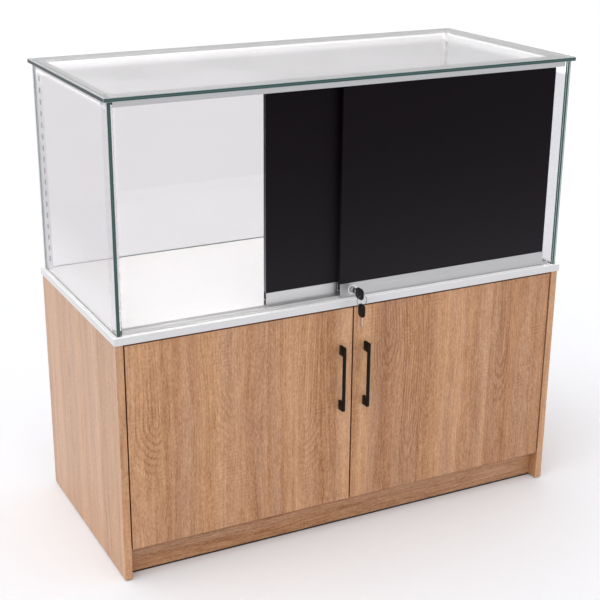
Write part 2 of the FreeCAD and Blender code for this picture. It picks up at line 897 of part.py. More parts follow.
# Lock housing: rosette and sleeve with a chamber for the plunger's collar
rosette_front = outer_front - s.rosette_thickness
chamber_start = outer_front + s.chamber_front
chamber_stop = outer_back - s.chamber_rear
plunger_bore = s.plunger_radius + s.fit_gap
rosette_step = rosette_front + s.rosette_edge
rosette_face = rod_y(
    "rosette_face", s.rosette_radius - s.rosette_edge, rosette_front, rosette_step, lock_x, lock_z
)
rosette = rod_y("rosette", s.rosette_radius, rosette_step, outer_front, lock_x, lock_z)
sleeve = rod_y("lock_sleeve", s.barrel_radius, outer_front, outer_back, lock_x, lock_z)
through = rod_y(
    "lock_through", plunger_bore, rosette_front - s.overrun, outer_back + s.overrun, lock_x, lock_z
)
chamber_radius = s.collar_radius + s.collar_gap
chamber = rod_y("lock_chamber", chamber_radius, chamber_start, chamber_stop, lock_x, lock_z)
housing_blank = fuse("housing_blank", [rosette_face, rosette, sleeve])
lock_housing = cut("lock_housing", housing_blank, [through, chamber])

# Plunger with its collar, bored for the plug
plunger_front = rosette_front - s.plunger_reach
plunger_back = outer_back - s.plunger_rear_gap
collar_start = chamber_start + s.collar_gap
plug_front = plunger_front - s.plug_proud
plug_room_end = plunger_back - s.plug_floor
plug_back = plug_room_end - s.plug_end_gap
nose_end = plunger_front + s.plunger_edge
nose = rod_y(
    "plunger_nose", s.plunger_radius - s.plunger_edge, plunger_front, nose_end, lock_x, lock_z
)
stem = rod_y("plunger_stem", s.plunger_radius, nose_end, plunger_back, lock_x, lock_z)
collar = rod_y(
    "plunger_collar", s.collar_radius, collar_start, collar_start + s.collar_length, lock_x, lock_z
)
plug_room = rod_y(
    "plug_room", s.plug_radius + s.fit_gap, plug_front, plug_room_end, lock_x, lock_z
)
lock_plunger = cut("lock_plunger", fuse("plunger_blank", [nose, stem, collar]), [plug_room])

# Key in the plug: blade with a tang that sits in the bow
bow_near = plug_front - s.key_stand
bow_far = bow_near - s.bow_length
ring_y = bow_far + s.hole_margin
blade_end = bow_near + s.blade_length
tang_start = bow_near - s.tang_length
blade_half = s.blade_thickness / 2
blade_rise = s.blade_width / 2
key_x = (lock_x - blade_half, lock_x + blade_half)
key_blade = slab(
    "key_blade", key_x, (tang_start, blade_end), (lock_z - blade_rise, lock_z + blade_rise)
)
way = s.keyway_gap
keyway = slab(
    "keyway",
    (lock_x - blade_half - way, lock_x + blade_half + way),
    (plug_front - s.overrun, blade_end + way),
    (lock_z - blade_rise - way, lock_z + blade_rise + way),
)
plug_blank = rod_y("plug_blank", s.plug_radius, plug_front, plug_back, lock_x, lock_z)
lock_plug = cut("lock_plug", plug_blank, [keyway])
bow_half = s.bow_thickness / 2
hole_span = s.bow_thickness + s.overrun * 2
hole_start = lock_x - bow_half - s.overrun


def bow_outline(across, along):
    """An eight-sided bow outline."""
    nip = s.bow_corner
    return [
        (nip, ZERO),
        (across - nip, ZERO),
        (across, nip),
        (across, along - nip),
        (across - nip, along),
        (nip, along),
        (ZERO, along - nip),
        (ZERO, nip),
    ]


key_bow_blank = prism(
    "key_bow_blank", "YZ_Plane", [bow_outline(s.bow_length, s.bow_width)], s.bow_thickness
)
ease_edges(key_bow_blank, s.bow_edge)
place(key_bow_blank, lock_x - bow_half, bow_far, lock_z - s.bow_width / 2)
key_hole = rod("key_hole", s.hole_radius, hole_span, "x", hole_start, ring_y, lock_z)
tang_room = slab(
    "tang_room", key_x, (tang_start, bow_near + s.overrun), (lock_z - blade_rise, lock_z + blade_rise)
)
key_bow = cut("key_bow", key_bow_blank, [key_hole, tang_room])

# Key ring, hanging through the bow, and the spare key on it
ring_top = lock_z - s.ring_sink
ring_middle = ring_top - s.ring_radius
ring_bottom = ring_middle - s.ring_radius
key_ring = doc.addObject("Part::Torus", "key_ring")
bind(key_ring, "Radius1", s.ring_radius)
bind(key_ring, "Radius2", s.wire_radius)
key_ring.Placement = FreeCAD.Placement(FreeCAD.Vector(), ALONG["y"])
place(key_ring, lock_x, ring_y, ring_middle)
spare_hole_z = ring_bottom - s.ring_sink
spare_high = spare_hole_z + s.hole_margin
spare_low = spare_high - s.bow_length
spare_tang = spare_low + s.tang_length
spare_y = (ring_y - blade_rise, ring_y + blade_rise)
spare_key_blade = slab(
    "spare_key_blade", key_x, spare_y, (spare_low - s.blade_length, spare_tang)
)
spare_bow_blank = prism(
    "spare_bow_blank", "YZ_Plane", [bow_outline(s.bow_width, s.bow_length)], s.bow_thickness
)
ease_edges(spare_bow_blank, s.bow_edge)
place(spare_bow_blank, lock_x - bow_half, ring_y - s.bow_width / 2, spare_low)
spare_hole = rod("spare_hole", s.hole_radius, hole_span, "x", hole_start, ring_y, spare_hole_z)
spare_tang_room = slab("spare_tang_room", key_x, spare_y, (spare_low - s.overrun, spare_tang))
spare_key_bow = cut("spare_key_bow", spare_bow_blank, [spare_hole, spare_tang_room])

# Strike on the front of the inner rail, reaching past its end
inner_right = inner_left + sliding_width
inner_door_strike = slab(
    "inner_door_strike",
    (inner_right - s.strike_hold, inner_right + s.strike_reach),
    (inner_front - s.strike_thickness, inner_front),
    (lock_z - s.strike_height / 2, lock_z + s.strike_height / 2),
)

NODES = [
    left_side_panel,
    right_side_panel,
    bottom_board,
    rear_panel,
    centre_partition,
    front_plinth,
    front_stretcher,
    rear_stretcher,
    left_shelf,
    right_shelf,
    shelf_pins,
    deck_board,
    floor_glides,
    hinge_plates,
    hinge_arms,
    left_glass,
    right_glass,
    rear_glass,
    top_glass,
    jamb_strips,
    left_standard,
    right_standard,
    top_track,
    bottom_track,
    light_end_caps,
    led_driver,
    left_door,
    left_handle,
    left_handle_screws,
    left_hinge_cups,
    left_hinge_pins,
    right_door,
    right_handle,
    right_handle_screws,
    right_hinge_cups,
    right_hinge_pins,
    lock_housing,
    lock_plunger,
    lock_plug,
    key_blade,
    key_bow,
    key_ring,
    spare_key_blade,
    spare_key_bow,
    inner_door_strike,
]
NODES += light_nodes + outer_pieces + inner_pieces

doc.recompute()
failed = [item.Name for item in doc.Objects if {"Invalid", "Error"} & set(item.State)]
failed += [node.Label for node in NODES if node.Shape.isNull() or not node.Shape.isValid()]
if failed:
    raise RuntimeError("failed objects: " + ", ".join(failed))
os.makedirs("parts", exist_ok=True)
for node in NODES:
    node.Shape.exportStep("parts/" + node.Label + ".step")
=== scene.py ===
"""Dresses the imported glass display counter: finishes, glass, handles, lock and keys, and a plain studio."""

import logging
import math
from dataclasses import dataclass, replace
from enum import Enum
from typing import ClassVar, Optional, Sequence, Union

import bmesh
import bpy
from bmesh.types import BMEdge, BMesh, BMVert
from mathutils import Matrix, Vector


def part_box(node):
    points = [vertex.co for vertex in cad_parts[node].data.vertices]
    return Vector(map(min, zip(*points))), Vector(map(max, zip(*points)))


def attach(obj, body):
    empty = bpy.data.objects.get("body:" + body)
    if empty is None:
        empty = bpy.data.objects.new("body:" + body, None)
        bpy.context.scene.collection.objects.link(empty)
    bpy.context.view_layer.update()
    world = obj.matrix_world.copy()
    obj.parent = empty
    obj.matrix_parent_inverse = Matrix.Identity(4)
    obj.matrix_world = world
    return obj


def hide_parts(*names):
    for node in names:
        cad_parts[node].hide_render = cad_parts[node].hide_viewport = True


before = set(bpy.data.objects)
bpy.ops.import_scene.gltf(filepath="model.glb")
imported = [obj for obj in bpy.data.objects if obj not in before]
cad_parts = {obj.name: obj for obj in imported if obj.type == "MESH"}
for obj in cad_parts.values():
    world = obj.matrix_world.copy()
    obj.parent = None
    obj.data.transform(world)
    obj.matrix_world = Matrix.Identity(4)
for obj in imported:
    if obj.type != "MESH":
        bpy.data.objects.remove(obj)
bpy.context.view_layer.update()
LOG = logging.getLogger("display_counter")
MM = 0.001
FULL_TURN = 2.0 * math.pi
QUARTER_TURN = 0.5 * math.pi
FLAT = 0.99
SHARP_ANGLE = math.radians(32.0)
WELD = 0.001 * MM
CORNER_STEPS = 5
HOLE_STEPS = 28
TURN_STEPS = 56
ROUND_STEPS = 3
NOISE_MIDDLE = 0.5
RIM_LIMIT = 0.7

Colour = tuple[float, float, float]
Point = tuple[float, float]
Ramp = tuple[float, float, float, float]
Socket = bpy.types.NodeSocket
Sockets = bpy.types.bpy_prop_collection
Feed = Union[float, Sequence[float], Socket]

BLACK: Colour = (0.0, 0.0, 0.0)


def even(value: float) -> Colour:
    """The same value on all three axes or channels."""
    return (value, value, value)


class Axis(Enum):
    """The three axes of the frame, by index."""

    X = 0
    Y = 1
    Z = 2


class Grain(Enum):
    """How a board's grain lies, as the turn that brings it upright."""

    UPRIGHT_FRONT = (0.0, 0.0, 0.0)
    UPRIGHT_SIDE = (0.0, 0.0, QUARTER_TURN)
    LEVEL_FRONT = (0.0, QUARTER_TURN, 0.0)
    LEVEL_TOP = (QUARTER_TURN, QUARTER_TURN, 0.0)


class PaneFace(Enum):
    """The kinds of face on a pane, by material index."""

    CLEAR = 0
    EDGE = 1
    ARRIS = 2
    END = 3


# Node benches and shared effects


class Bench:
    """A node tree with short ways to add nodes and join them."""

    def __init__(self, tree: bpy.types.NodeTree) -> None:
        """Takes a tree and empties it."""
        self.tree = tree
        tree.nodes.clear()

    def add(self, kind: str, feeds: Optional[dict[Union[str, int], Feed]] = None,
            **settings: object) -> bpy.types.Node:
        """Adds one node.

        Args:
            kind: the node type, without the ShaderNode prefix.
            feeds: input name or index to a value or a socket.
            settings: attributes of the node.

        Returns:
            The new node.
        """
        prefix = "" if kind.startswith("NodeGroup") else "ShaderNode"
        node = self.tree.nodes.new(prefix + kind)
        for name, value in settings.items():
            setattr(node, name, value)
        for key, value in (feeds or {}).items():
            self.feed(node.inputs[key], value)
        return node

    def feed(self, socket: Socket, value: Feed) -> None:
        """Joins a socket to another, or sets its value.

        Args:
            socket: the input to feed.
            value: an output socket, a number, or a colour or vector.
        """
        if isinstance(value, Socket):
            self.tree.links.new(value, socket)
        elif socket.type == "RGBA" and len(value) == 3:
            socket.default_value = (*value, 1.0)
        else:
            socket.default_value = value

    def sum(self, kind: str, first: Feed, second: Feed = 0.0) -> Socket:
        """One Math node."""
        return self.add("Math", {0: first, 1: second}, operation=kind).outputs[0]

    def blend(self, share: Feed, low: Feed, high: Feed, kind: str = "MIX") -> Socket:
        """Mixes two colours."""
        feeds = {0: share, 6: low, 7: high}
        return self.add("Mix", feeds, data_type="RGBA", blend_type=kind).outputs[2]

    def span(self, value: Feed, start: Feed, stop: Feed, low: Feed = 0.0, high: Feed = 1.0) -> Socket:
        """Maps a value from one range to another, held at the ends."""
        feeds = {0: value, 1: start, 2: stop, 3: low, 4: high}
        return self.add("MapRange", feeds).outputs[0]

    def times(self, first: Feed, second: Feed) -> Socket:
        """Multiplies two colours."""
        return self.blend(1.0, first, second, "MULTIPLY")

    def by_ray(self, first: str, second: str, seen: Socket, other: Socket) -> Socket:
        """Mixes two shaders by the kind of ray.

        Args:
            first: an output of the Light Path node.
            second: another such output.
            seen: the shader for rays of either kind.
            other: the shader for all other rays.

        Returns:
            The mixed shader.
        """
        rays = self.add("LightPath").outputs
        share = self.sum("MAXIMUM", rays[first], rays[second])
        return self.add("MixShader", {0: share, 1: other, 2: seen}).outputs[0]

    def cloud(self, place: Feed, stretch: Colour, detail: float = 1.0, warp: float = 0.0) -> Socket:
        """Noise whose spots are one over stretch wide on each axis.

        Args:
            place: the coordinates.
            stretch: spots per metre along each axis.
            detail: how many finer layers.
            warp: how far the noise twists itself.

        Returns:
            A value around one half.
        """
        scaled = self.add("VectorMath", {0: place, 1: stretch}, operation="MULTIPLY").outputs[0]
        feeds = {"Vector": scaled, "Scale": 1.0, "Detail": detail, "Distortion": warp}
        return self.add("TexNoise", feeds).outputs[0]


class Effect:
    """A shared effect: one shader node group for colour, gloss and level, built when first asked for."""

    name: ClassVar[str] = ""
    inputs: ClassVar[dict[str, str]] = {}
    outputs: ClassVar[dict[str, str]] = {"Color": "Color", "Roughness": "Float", "Height": "Float"}

    @classmethod
    def tree(cls) -> bpy.types.NodeTree:
        """The effect's node group, built on the first call."""
        found = bpy.data.node_groups.get(cls.name)
        if found is not None:
            return found
        group = bpy.data.node_groups.new(cls.name, "ShaderNodeTree")
        for ways, direction in ((cls.inputs, "INPUT"), (cls.outputs, "OUTPUT")):
            for label, kind in ways.items():
                group.interface.new_socket(name=label, in_out=direction, socket_type="NodeSocket" + kind)
        bench = Bench(group)
        source = bench.add("NodeGroupInput").outputs
        bench.add("NodeGroupOutput", cls.wire(bench, source))
        return group

    @classmethod
    def wire(cls, bench: Bench, source: Sockets) -> dict[str, Socket]:
        """Builds the nodes inside the group."""
        raise NotImplementedError

    @classmethod
    def place(cls, bench: Bench, feeds: dict[str, Feed]) -> Sockets:
        """Puts the group into a material.

        Args:
            bench: the material's bench.
            feeds: the values for the group's inputs.

        Returns:
            The group node's outputs.
        """
        return bench.add("Group", feeds, node_tree=cls.tree()).outputs


@dataclass(frozen=True)
class NoiseLayer:
    """Noise drawn out along the grain, with its weight in the tone."""

    across: float
    along: float
    detail: float = 0.0
    weight: float = 0.0
    warp: float = 0.0

    def draw(self, bench: Bench, place: Feed) -> Socket:
        """Adds the noise to a tree."""
        return bench.cloud(place, (self.across, self.across, self.along), self.detail, self.warp)


@dataclass(frozen=True)
class NoisePatch(NoiseLayer):
    """Noise along the grain, mapped from one range to another."""

    start: float = 0.0
    stop: float = 1.0
    low: float = 0.0
    high: float = 1.0

    def draw(self, bench: Bench, place: Feed) -> Socket:
        """Adds the noise and maps it."""
        return bench.span(super().draw(bench, place), self.start, self.stop, self.low, self.high)


class OakFigure(Effect):
    """Sawn oak with upright staves: arched rings, streaks, fibres, pores and faint saw marks."""

    name = "oak_figure"
    inputs = {"Vector": "Vector", "Light": "Color", "Dark": "Color", "Blush": "Color", "Rings": "Float"}
    staves: ClassVar[float] = 17.0
    stave_shift: ClassVar[float] = 0.02
    stave_tones: ClassVar[Point] = (0.39, 0.61)
    stave_rings: ClassVar[Ramp] = (0.2, 0.5, 0.3, 1.0)
    arch_heights: ClassVar[Point] = (0.12, 0.55)
    arch_slopes: ClassVar[Point] = (0.2, 0.45)
    arch_fade: ClassVar[Ramp] = (0.07, 0.17, 1.0, 0.0)
    ring_rate: ClassVar[float] = FULL_TURN * 150.0
    saw_rate: ClassVar[float] = 760.0
    bend: ClassVar[float] = 0.7
    gloss: ClassVar[Ramp] = (0.3, 0.7, 0.5, 0.4)
    fibre_relief: ClassVar[float] = 0.5
    warm_cast: ClassVar[Colour] = (1.02, 1.0, 0.93)
    sway: ClassVar[NoisePatch] = NoisePatch(16.0, 3.2, low=-0.016, high=0.016)
    wobble: ClassVar[NoisePatch] = NoisePatch(70.0, 16.0, low=-0.0015, high=0.0015)
    patch: ClassVar[NoisePatch] = NoisePatch(9.0, 2.2, start=0.40, stop=0.58, low=0.1)
    sawn: ClassVar[NoisePatch] = NoisePatch(20.0, 12.0, start=0.62, stop=0.78, high=0.06)
    flush: ClassVar[NoisePatch] = NoisePatch(24.0, 1.4, 1.0, start=0.36, stop=0.64)
    layers: ClassVar[dict[str, NoiseLayer]] = {
        "wide": NoiseLayer(20.0, 0.5, 0.0, 0.45),
        "band": NoiseLayer(55.0, 1.1, 0.0, 0.40),
        "line": NoiseLayer(150.0, 2.2, 1.0, 0.48),
        "streak": NoiseLayer(110.0, 16.0, 0.0, 0.3, 0.3),
        "fibre": NoiseLayer(320.0, 24.0, 1.0, 0.55),
        "pore": NoiseLayer(560.0, 130.0, 1.0, 1.0),
    }

    @classmethod
    def wire(cls, bench: Bench, source: Sockets) -> dict[str, Socket]:
        """Builds the figure from a stave lottery, a ring field and stretched noise."""
        place = source["Vector"]
        axes = bench.add("SeparateXYZ", {0: place}).outputs
        across, along = axes["X"], axes["Z"]
        stave = bench.add("TexVoronoi", {"W": across, "Scale": cls.staves}, voronoi_dimensions="1D").outputs
        chance = bench.add("SeparateColor", {0: stave["Color"]}).outputs
        shift = bench.span(chance[0], 0.0, 1.0, -cls.stave_shift, cls.stave_shift)
        sway = cls.sway.draw(bench, place)
        aside = bench.sum("ADD", bench.sum("SUBTRACT", across, stave["W"]), bench.sum("ADD", shift, sway))
        height = bench.span(chance[1], 0.0, 1.0, *cls.arch_heights)
        drop = bench.sum("MAXIMUM", bench.sum("SUBTRACT", height, along), 0.0)
        rise = bench.sum("MULTIPLY", drop, bench.span(chance[2], 0.0, 1.0, *cls.arch_slopes))
        squares = bench.sum("ADD", bench.sum("MULTIPLY", aside, aside), bench.sum("MULTIPLY", rise, rise))
        radius = bench.sum("ADD", bench.sum("SQRT", squares), cls.wobble.draw(bench, place))
        wave = bench.sum("COSINE", bench.sum("MULTIPLY", radius, cls.ring_rate))
        late = bench.span(wave, 0.0, 1.0)
        patchy = bench.sum("MULTIPLY", late, cls.patch.draw(bench, place))
        closing = bench.span(drop, *cls.arch_fade)
        strong = bench.sum("MULTIPLY", bench.span(chance[0], *cls.stave_rings), closing)
        rings = bench.sum("MULTIPLY", patchy, bench.sum("MULTIPLY", strong, source["Rings"]))
        bent = bench.sum("ADD", across, bench.sum("MULTIPLY", sway, cls.bend))
        place = bench.add("CombineXYZ", {0: bent, 1: axes["Y"], 2: along}).outputs[0]
        drawn = {name: layer.draw(bench, place) for name, layer in cls.layers.items()}
        tone = bench.span(chance[2], 0.0, 1.0, *cls.stave_tones)
        for name, layer in cls.layers.items():
            part = bench.sum("MULTIPLY", bench.sum("SUBTRACT", drawn[name], NOISE_MIDDLE), layer.weight)
            tone = bench.sum("ADD", tone, part)
        tone = bench.sum("SUBTRACT", tone, rings)
        saw = bench.sum("SINE", bench.sum("MULTIPLY", along, cls.saw_rate))
        tone = bench.sum("ADD", tone, bench.sum("MULTIPLY", saw, cls.sawn.draw(bench, place)))
        share = bench.span(tone, 0.0, 1.0)
        wood = bench.blend(share, source["Dark"], source["Light"])
        cast = bench.blend(cls.flush.draw(bench, place), cls.warm_cast, source["Blush"])
        relief = bench.sum("ADD", bench.sum("MULTIPLY", drawn["fibre"], cls.fibre_relief), drawn["pore"])
        rough = bench.span(drawn["line"], *cls.gloss)
        return {"Color": bench.times(wood, cast), "Roughness": rough, "Height": relief}


class FineMottle(Effect):
    """A faint unevenness of colour, gloss and level, as on laminate, paint and moulded plastic."""

    name = "fine_mottle"
    inputs = {"Vector": "Vector", "Light": "Color", "Dark": "Color", "Smooth": "Float", "Rough": "Float"}
    fine_rate: ClassVar[float] = 9.0
    broad_detail: ClassVar[float] = 2.0
    broad_share: ClassVar[float] = 0.6
    spread: ClassVar[Point] = (0.36, 0.64)

    @classmethod
    def wire(cls, bench: Bench, source: Sockets) -> dict[str, Socket]:
        """Builds the mottle from one broad and one fine noise."""
        broad = bench.cloud(source["Vector"], even(1.0), cls.broad_detail)
        fine = bench.cloud(source["Vector"], even(cls.fine_rate))
        coarse = bench.sum("MULTIPLY", broad, cls.broad_share)
        both = bench.sum("ADD", coarse, bench.sum("MULTIPLY", fine, 1.0 - cls.broad_share))
        share = bench.span(both, *cls.spread)
        colour = bench.blend(share, source["Dark"], source["Light"])
        rough = bench.span(both, *cls.spread, source["Smooth"], source["Rough"])
        return {"Color": colour, "Roughness": rough, "Height": fine}


# Finishes


@dataclass(frozen=True)
class Finish:
    """What every finish has: a name, and one material made from it."""

    name: str

    def material(self) -> bpy.types.Material:
        """The finish's material, made on the first call."""
        title = "finish_" + self.name
        found = bpy.data.materials.get(title)
        if found is None:
            found = bpy.data.materials.new(title)
            found.use_nodes = True
            bench = Bench(found.node_tree)
            bench.add("OutputMaterial", {"Surface": self.wire(bench)})
        return found

    def wire(self, bench: Bench) -> Socket:
        """Builds the nodes; each finish has its own."""
        raise NotImplementedError

    @staticmethod
    def place(bench: Bench, turn: Colour = even(0.0), shift: Colour = even(0.0),
              scale: Colour = even(1.0)) -> Socket:
        """Object coordinates through a Mapping node.

        Args:
            bench: the material's bench.
            turn: rotation in radians.
            shift: translation in metres.
            scale: scale on each axis.

        Returns:
            The mapped coordinates.
        """
        source = bench.add("TexCoord").outputs["Object"]
        feeds = {"Vector": source, "Location": shift, "Rotation": turn, "Scale": scale}
        return bench.add("Mapping", feeds).outputs[0]

    @classmethod
    def along(cls, bench: Bench, axis: Axis) -> Socket:
        """The object coordinate on one axis."""
        return bench.add("SeparateXYZ", {0: cls.place(bench)}).outputs[axis.value]


@dataclass(frozen=True)
class OakFinish(Finish):
    """Oak-look laminate with its grain laid one way."""

    grain: Grain = Grain.UPRIGHT_FRONT
    shift: Colour = even(0.0)
    light: Colour = (0.655, 0.372, 0.206)
    dark: Colour = (0.285, 0.106, 0.031)
    blush: Colour = (0.97, 1.0, 1.08)
    rings: float = 0.25
    coat: float = 0.0
    # painted shade: the span across a door's thickness whose edge faces are darkened
    band: Optional[Point] = None
    gap_shade_tone: Colour = (0.40, 0.32, 0.24)
    coat_rough: float = 0.35
    relief: float = 0.25
    relief_depth: float = 0.3 * MM

    def shade_gap_edges(self, bench: Bench, colour: Socket) -> Socket:
        """Paints shade on a door's edges, between its two faces, where the gap between the doors lies in
        shade.

        Args:
            bench: the material's bench.
            colour: the figure's colour.

        Returns:
            The colour to use.
        """
        if self.band is None:
            return colour
        depth = self.along(bench, Axis.Y)
        front, back = self.band
        behind, ahead = bench.sum("GREATER_THAN", depth, front), bench.sum("LESS_THAN", depth, back)
        within = bench.sum("MULTIPLY", behind, ahead)
        return bench.blend(within, colour, bench.times(colour, self.gap_shade_tone))

    def wire(self, bench: Bench) -> Socket:
        """Oak figure into colour, gloss and relief."""
        oak = OakFigure.place(bench, {
            "Vector": self.place(bench, self.grain.value, self.shift),
            "Light": self.light,
            "Dark": self.dark,
            "Blush": self.blush,
            "Rings": self.rings,
        })
        feeds = {"Height": oak["Height"], "Strength": self.relief, "Distance": self.relief_depth}
        return bench.add("BsdfPrincipled", {
            "Base Color": self.shade_gap_edges(bench, oak["Color"]),
            "Roughness": oak["Roughness"],
            "Normal": bench.add("Bump", feeds).outputs[0],
            "Coat Weight": self.coat,
            "Coat Roughness": self.coat_rough,
        }).outputs[0]


@dataclass(frozen=True)
class MottledFinish(Finish):
    """Laminate, paint, plastic or metal with a fine mottle, drawn out along an axis if it is brushed."""

    light: Colour = even(0.8)
    dark: Colour = even(0.75)
    smooth: float = 0.3
    rough: float = 0.45
    spots: Colour = even(60.0)
    metallic: float = 0.0
    specular: float = 0.5
    relief: float = 0.1
    relief_depth: float = 0.1 * MM

    def tint(self, bench: Bench, colour: Socket) -> Socket:
        """Changes the mottle's colour where a finish asks for it."""
        return colour

    def wire(self, bench: Bench) -> Socket:
        """Mottle into colour, gloss and relief."""
        mottle = FineMottle.place(bench, {
            "Vector": self.place(bench, scale=self.spots),
            "Light": self.light,
            "Dark": self.dark,
            "Smooth": self.smooth,
            "Rough": self.rough,
        })
        feeds = {"Height": mottle["Height"], "Strength": self.relief, "Distance": self.relief_depth}
        return bench.add("BsdfPrincipled", {
            "Base Color": self.tint(bench, mottle["Color"]),
            "Roughness": mottle["Roughness"],
            "Normal": bench.add("Bump", feeds).outputs[0],
            "Metallic": self.metallic,
            "Specular IOR Level": self.specular,
            **self.glow(bench),
        }).outputs[0]

    def glow(self, bench: Bench) -> dict[str, Feed]:
        """The feeds for a painted glow on the finish; none by default."""
        return {}


@dataclass(frozen=True)
class PaintedFootFinish(MottledFinish):
    """A mottled finish whose colour changes towards its foot to paint in light and shade: painted shade on
    the deck board's edges, a painted reflection on the black panels and their edging, a painted glow on the
    light channels.
    """

    # the colour of the painted light and shade at the foot
    painted_foot_tone: Colour = (0.0165, 0.0140, 0.0165)
    top: float = 0.99
    foot: float = 0.56

    def share(self, bench: Bench) -> Socket:
        """How much of the foot's colour shows at each height."""
        share = bench.span(self.along(bench, Axis.Z), self.top, self.foot)
        return bench.sum("MULTIPLY", share, share)

    def tint(self, bench: Bench, colour: Socket) -> Socket:
        """Lays the foot's painted colour over the mottle."""
        return bench.blend(self.share(bench), colour, self.painted_foot_tone)


@dataclass(frozen=True)
class HollowFinish(MottledFinish):
    """A finish for a pair of upright tubes, one at each side, with painted shade inside their walls."""

    # painted shade inside the tubes
    inside: Colour = even(0.012)
    middle: Point = (0.508, 0.245)
    half: float = 4.7 * MM

    def tint(self, bench: Bench, colour: Socket) -> Socket:
        """Paints shade on what lies within the walls."""
        aside = bench.sum("SUBTRACT", bench.sum("ABSOLUTE", self.along(bench, Axis.X)), self.middle[0])
        ahead = bench.sum("SUBTRACT", self.along(bench, Axis.Y), self.middle[1])
        reach = bench.sum("MAXIMUM", bench.sum("ABSOLUTE", aside), bench.sum("ABSOLUTE", ahead))
        return bench.blend(bench.sum("LESS_THAN", reach, self.half), colour, self.inside)


@dataclass(frozen=True)
class PaintedGlowFinish(PaintedFootFinish):
    """A finish with a painted glow along its foot; the part itself is no lamp."""

    strength: float = 0.8

    def glow(self, bench: Bench) -> dict[str, Feed]:
        """Painted glow along the foot."""
        # the painted glow's colour, strongest at the foot
        painted_shine = bench.blend(self.share(bench), BLACK, self.painted_foot_tone)
        return {"Emission Color": painted_shine, "Emission Strength": self.strength}


@dataclass(frozen=True)
class EdgeFinish(MottledFinish):
    """A polished glass edge with a paler line painted along its core: a painted reflection from within the
    glass.
    """

    smooth: float = 0.15
    rough: float = 0.3
    specular: float = 0.15
    axis: Axis = Axis.Z
    core_at: float = 0.0
    core_half: float = 1.2 * MM
    core: Colour = BLACK

    def tint(self, bench: Bench, colour: Socket) -> Socket:
        """Draws the painted reflection line over the mottle."""
        away = bench.sum("ABSOLUTE", bench.sum("SUBTRACT", self.along(bench, self.axis), self.core_at))
        share = bench.span(away, 0.5 * self.core_half, self.core_half, 1.0, 0.0)
        return bench.blend(share, colour, self.core)


@dataclass(frozen=True)
class GlowFinish(Finish):
    """A frosted strip lit from behind by a row of lamps."""

    lit: Colour = (1.0, 0.99, 0.97)
    between: Colour = even(0.86)
    unlit: Colour = (0.56, 0.56, 0.57)
    strength: float = 40.0
    seen: float = 1.8
    pitch: float = 16.0 * MM
    top: float = 0.9905
    foot: float = 0.9895
    rough: float = 0.6

    def wire(self, bench: Bench) -> Socket:
        """Lamp spots into the glow, which leaves the upper border dark."""
        run = bench.sum("ADD", self.along(bench, Axis.X), self.along(bench, Axis.Y))
        wave = bench.sum("COSINE", bench.sum("MULTIPLY", run, FULL_TURN / self.pitch))
        share = bench.span(wave, -1.0, 1.0)
        glow = bench.blend(share, self.between, self.lit)
        low = bench.span(self.along(bench, Axis.Z), self.top, self.foot)
        feeds = {
            "Base Color": bench.blend(low, self.unlit, glow),
            "Roughness": self.rough,
            "Emission Color": bench.blend(low, BLACK, glow),
        }
        source = bench.add("BsdfPrincipled", {**feeds, "Emission Strength": self.strength}).outputs[0]
        face = bench.add("BsdfPrincipled", {**feeds, "Emission Strength": self.seen}).outputs[0]
        return bench.by_ray("Is Camera Ray", "Is Transmission Ray", face, source)


@dataclass(frozen=True)
class ClearGlassFinish(Finish):
    """The see-through faces of a pane; light rays pass straight through."""

    tint: Colour = (0.93, 0.95, 0.945)
    deep: Colour = (0.91, 0.935, 0.93)
    ior: float = 1.5
    # painted light and shade: the tint turns towards another colour along an axis
    painted_light_shade_drift: Optional[tuple[Axis, float, float, Colour]] = None
    patches: float = 3.0
    patch_spread: Point = (0.35, 0.65)

    def wire(self, bench: Bench) -> Socket:
        """Clear glass for the eye, plain passage for shadow and diffuse rays."""
        shade = bench.cloud(self.place(bench), even(self.patches))
        tint = bench.blend(bench.span(shade, *self.patch_spread), self.deep, self.tint)
        if self.painted_light_shade_drift is not None:
            axis, start, end, colour = self.painted_light_shade_drift
            share = bench.span(self.along(bench, axis), start, end)
            tint = bench.blend(share, tint, colour)
        feeds = {"Base Color": tint, "Roughness": 0.0, "IOR": self.ior, "Transmission Weight": 1.0}
        glass = bench.add("BsdfPrincipled", {**feeds, **self.glow(bench)}).outputs[0]
        passing = bench.add("BsdfTransparent", {"Color": self.tint}).outputs[0]
        return bench.by_ray("Is Shadow Ray", "Is Diffuse Ray", passing, glass)

    def glow(self, bench: Bench) -> dict[str, Feed]:
        """The feeds for a painted glow in the glass; none by default."""
        return {}


@dataclass(frozen=True)
class PaintedGlowGlassFinish(ClearGlassFinish):
    """Clear glass with a painted glow that grows towards one end of an axis."""

    # the colour of the painted glow
    painted_shine: Colour = even(0.36)
    axis: Axis = Axis.Z
    start: float = 0.966
    end: float = 0.977

    def glow(self, bench: Bench) -> dict[str, Feed]:
        """Painted glow that grows along the axis."""
        share = bench.span(self.along(bench, self.axis), self.start, self.end)
        return {"Emission Color": bench.blend(share, BLACK, self.painted_shine), "Emission Strength": 1.0}


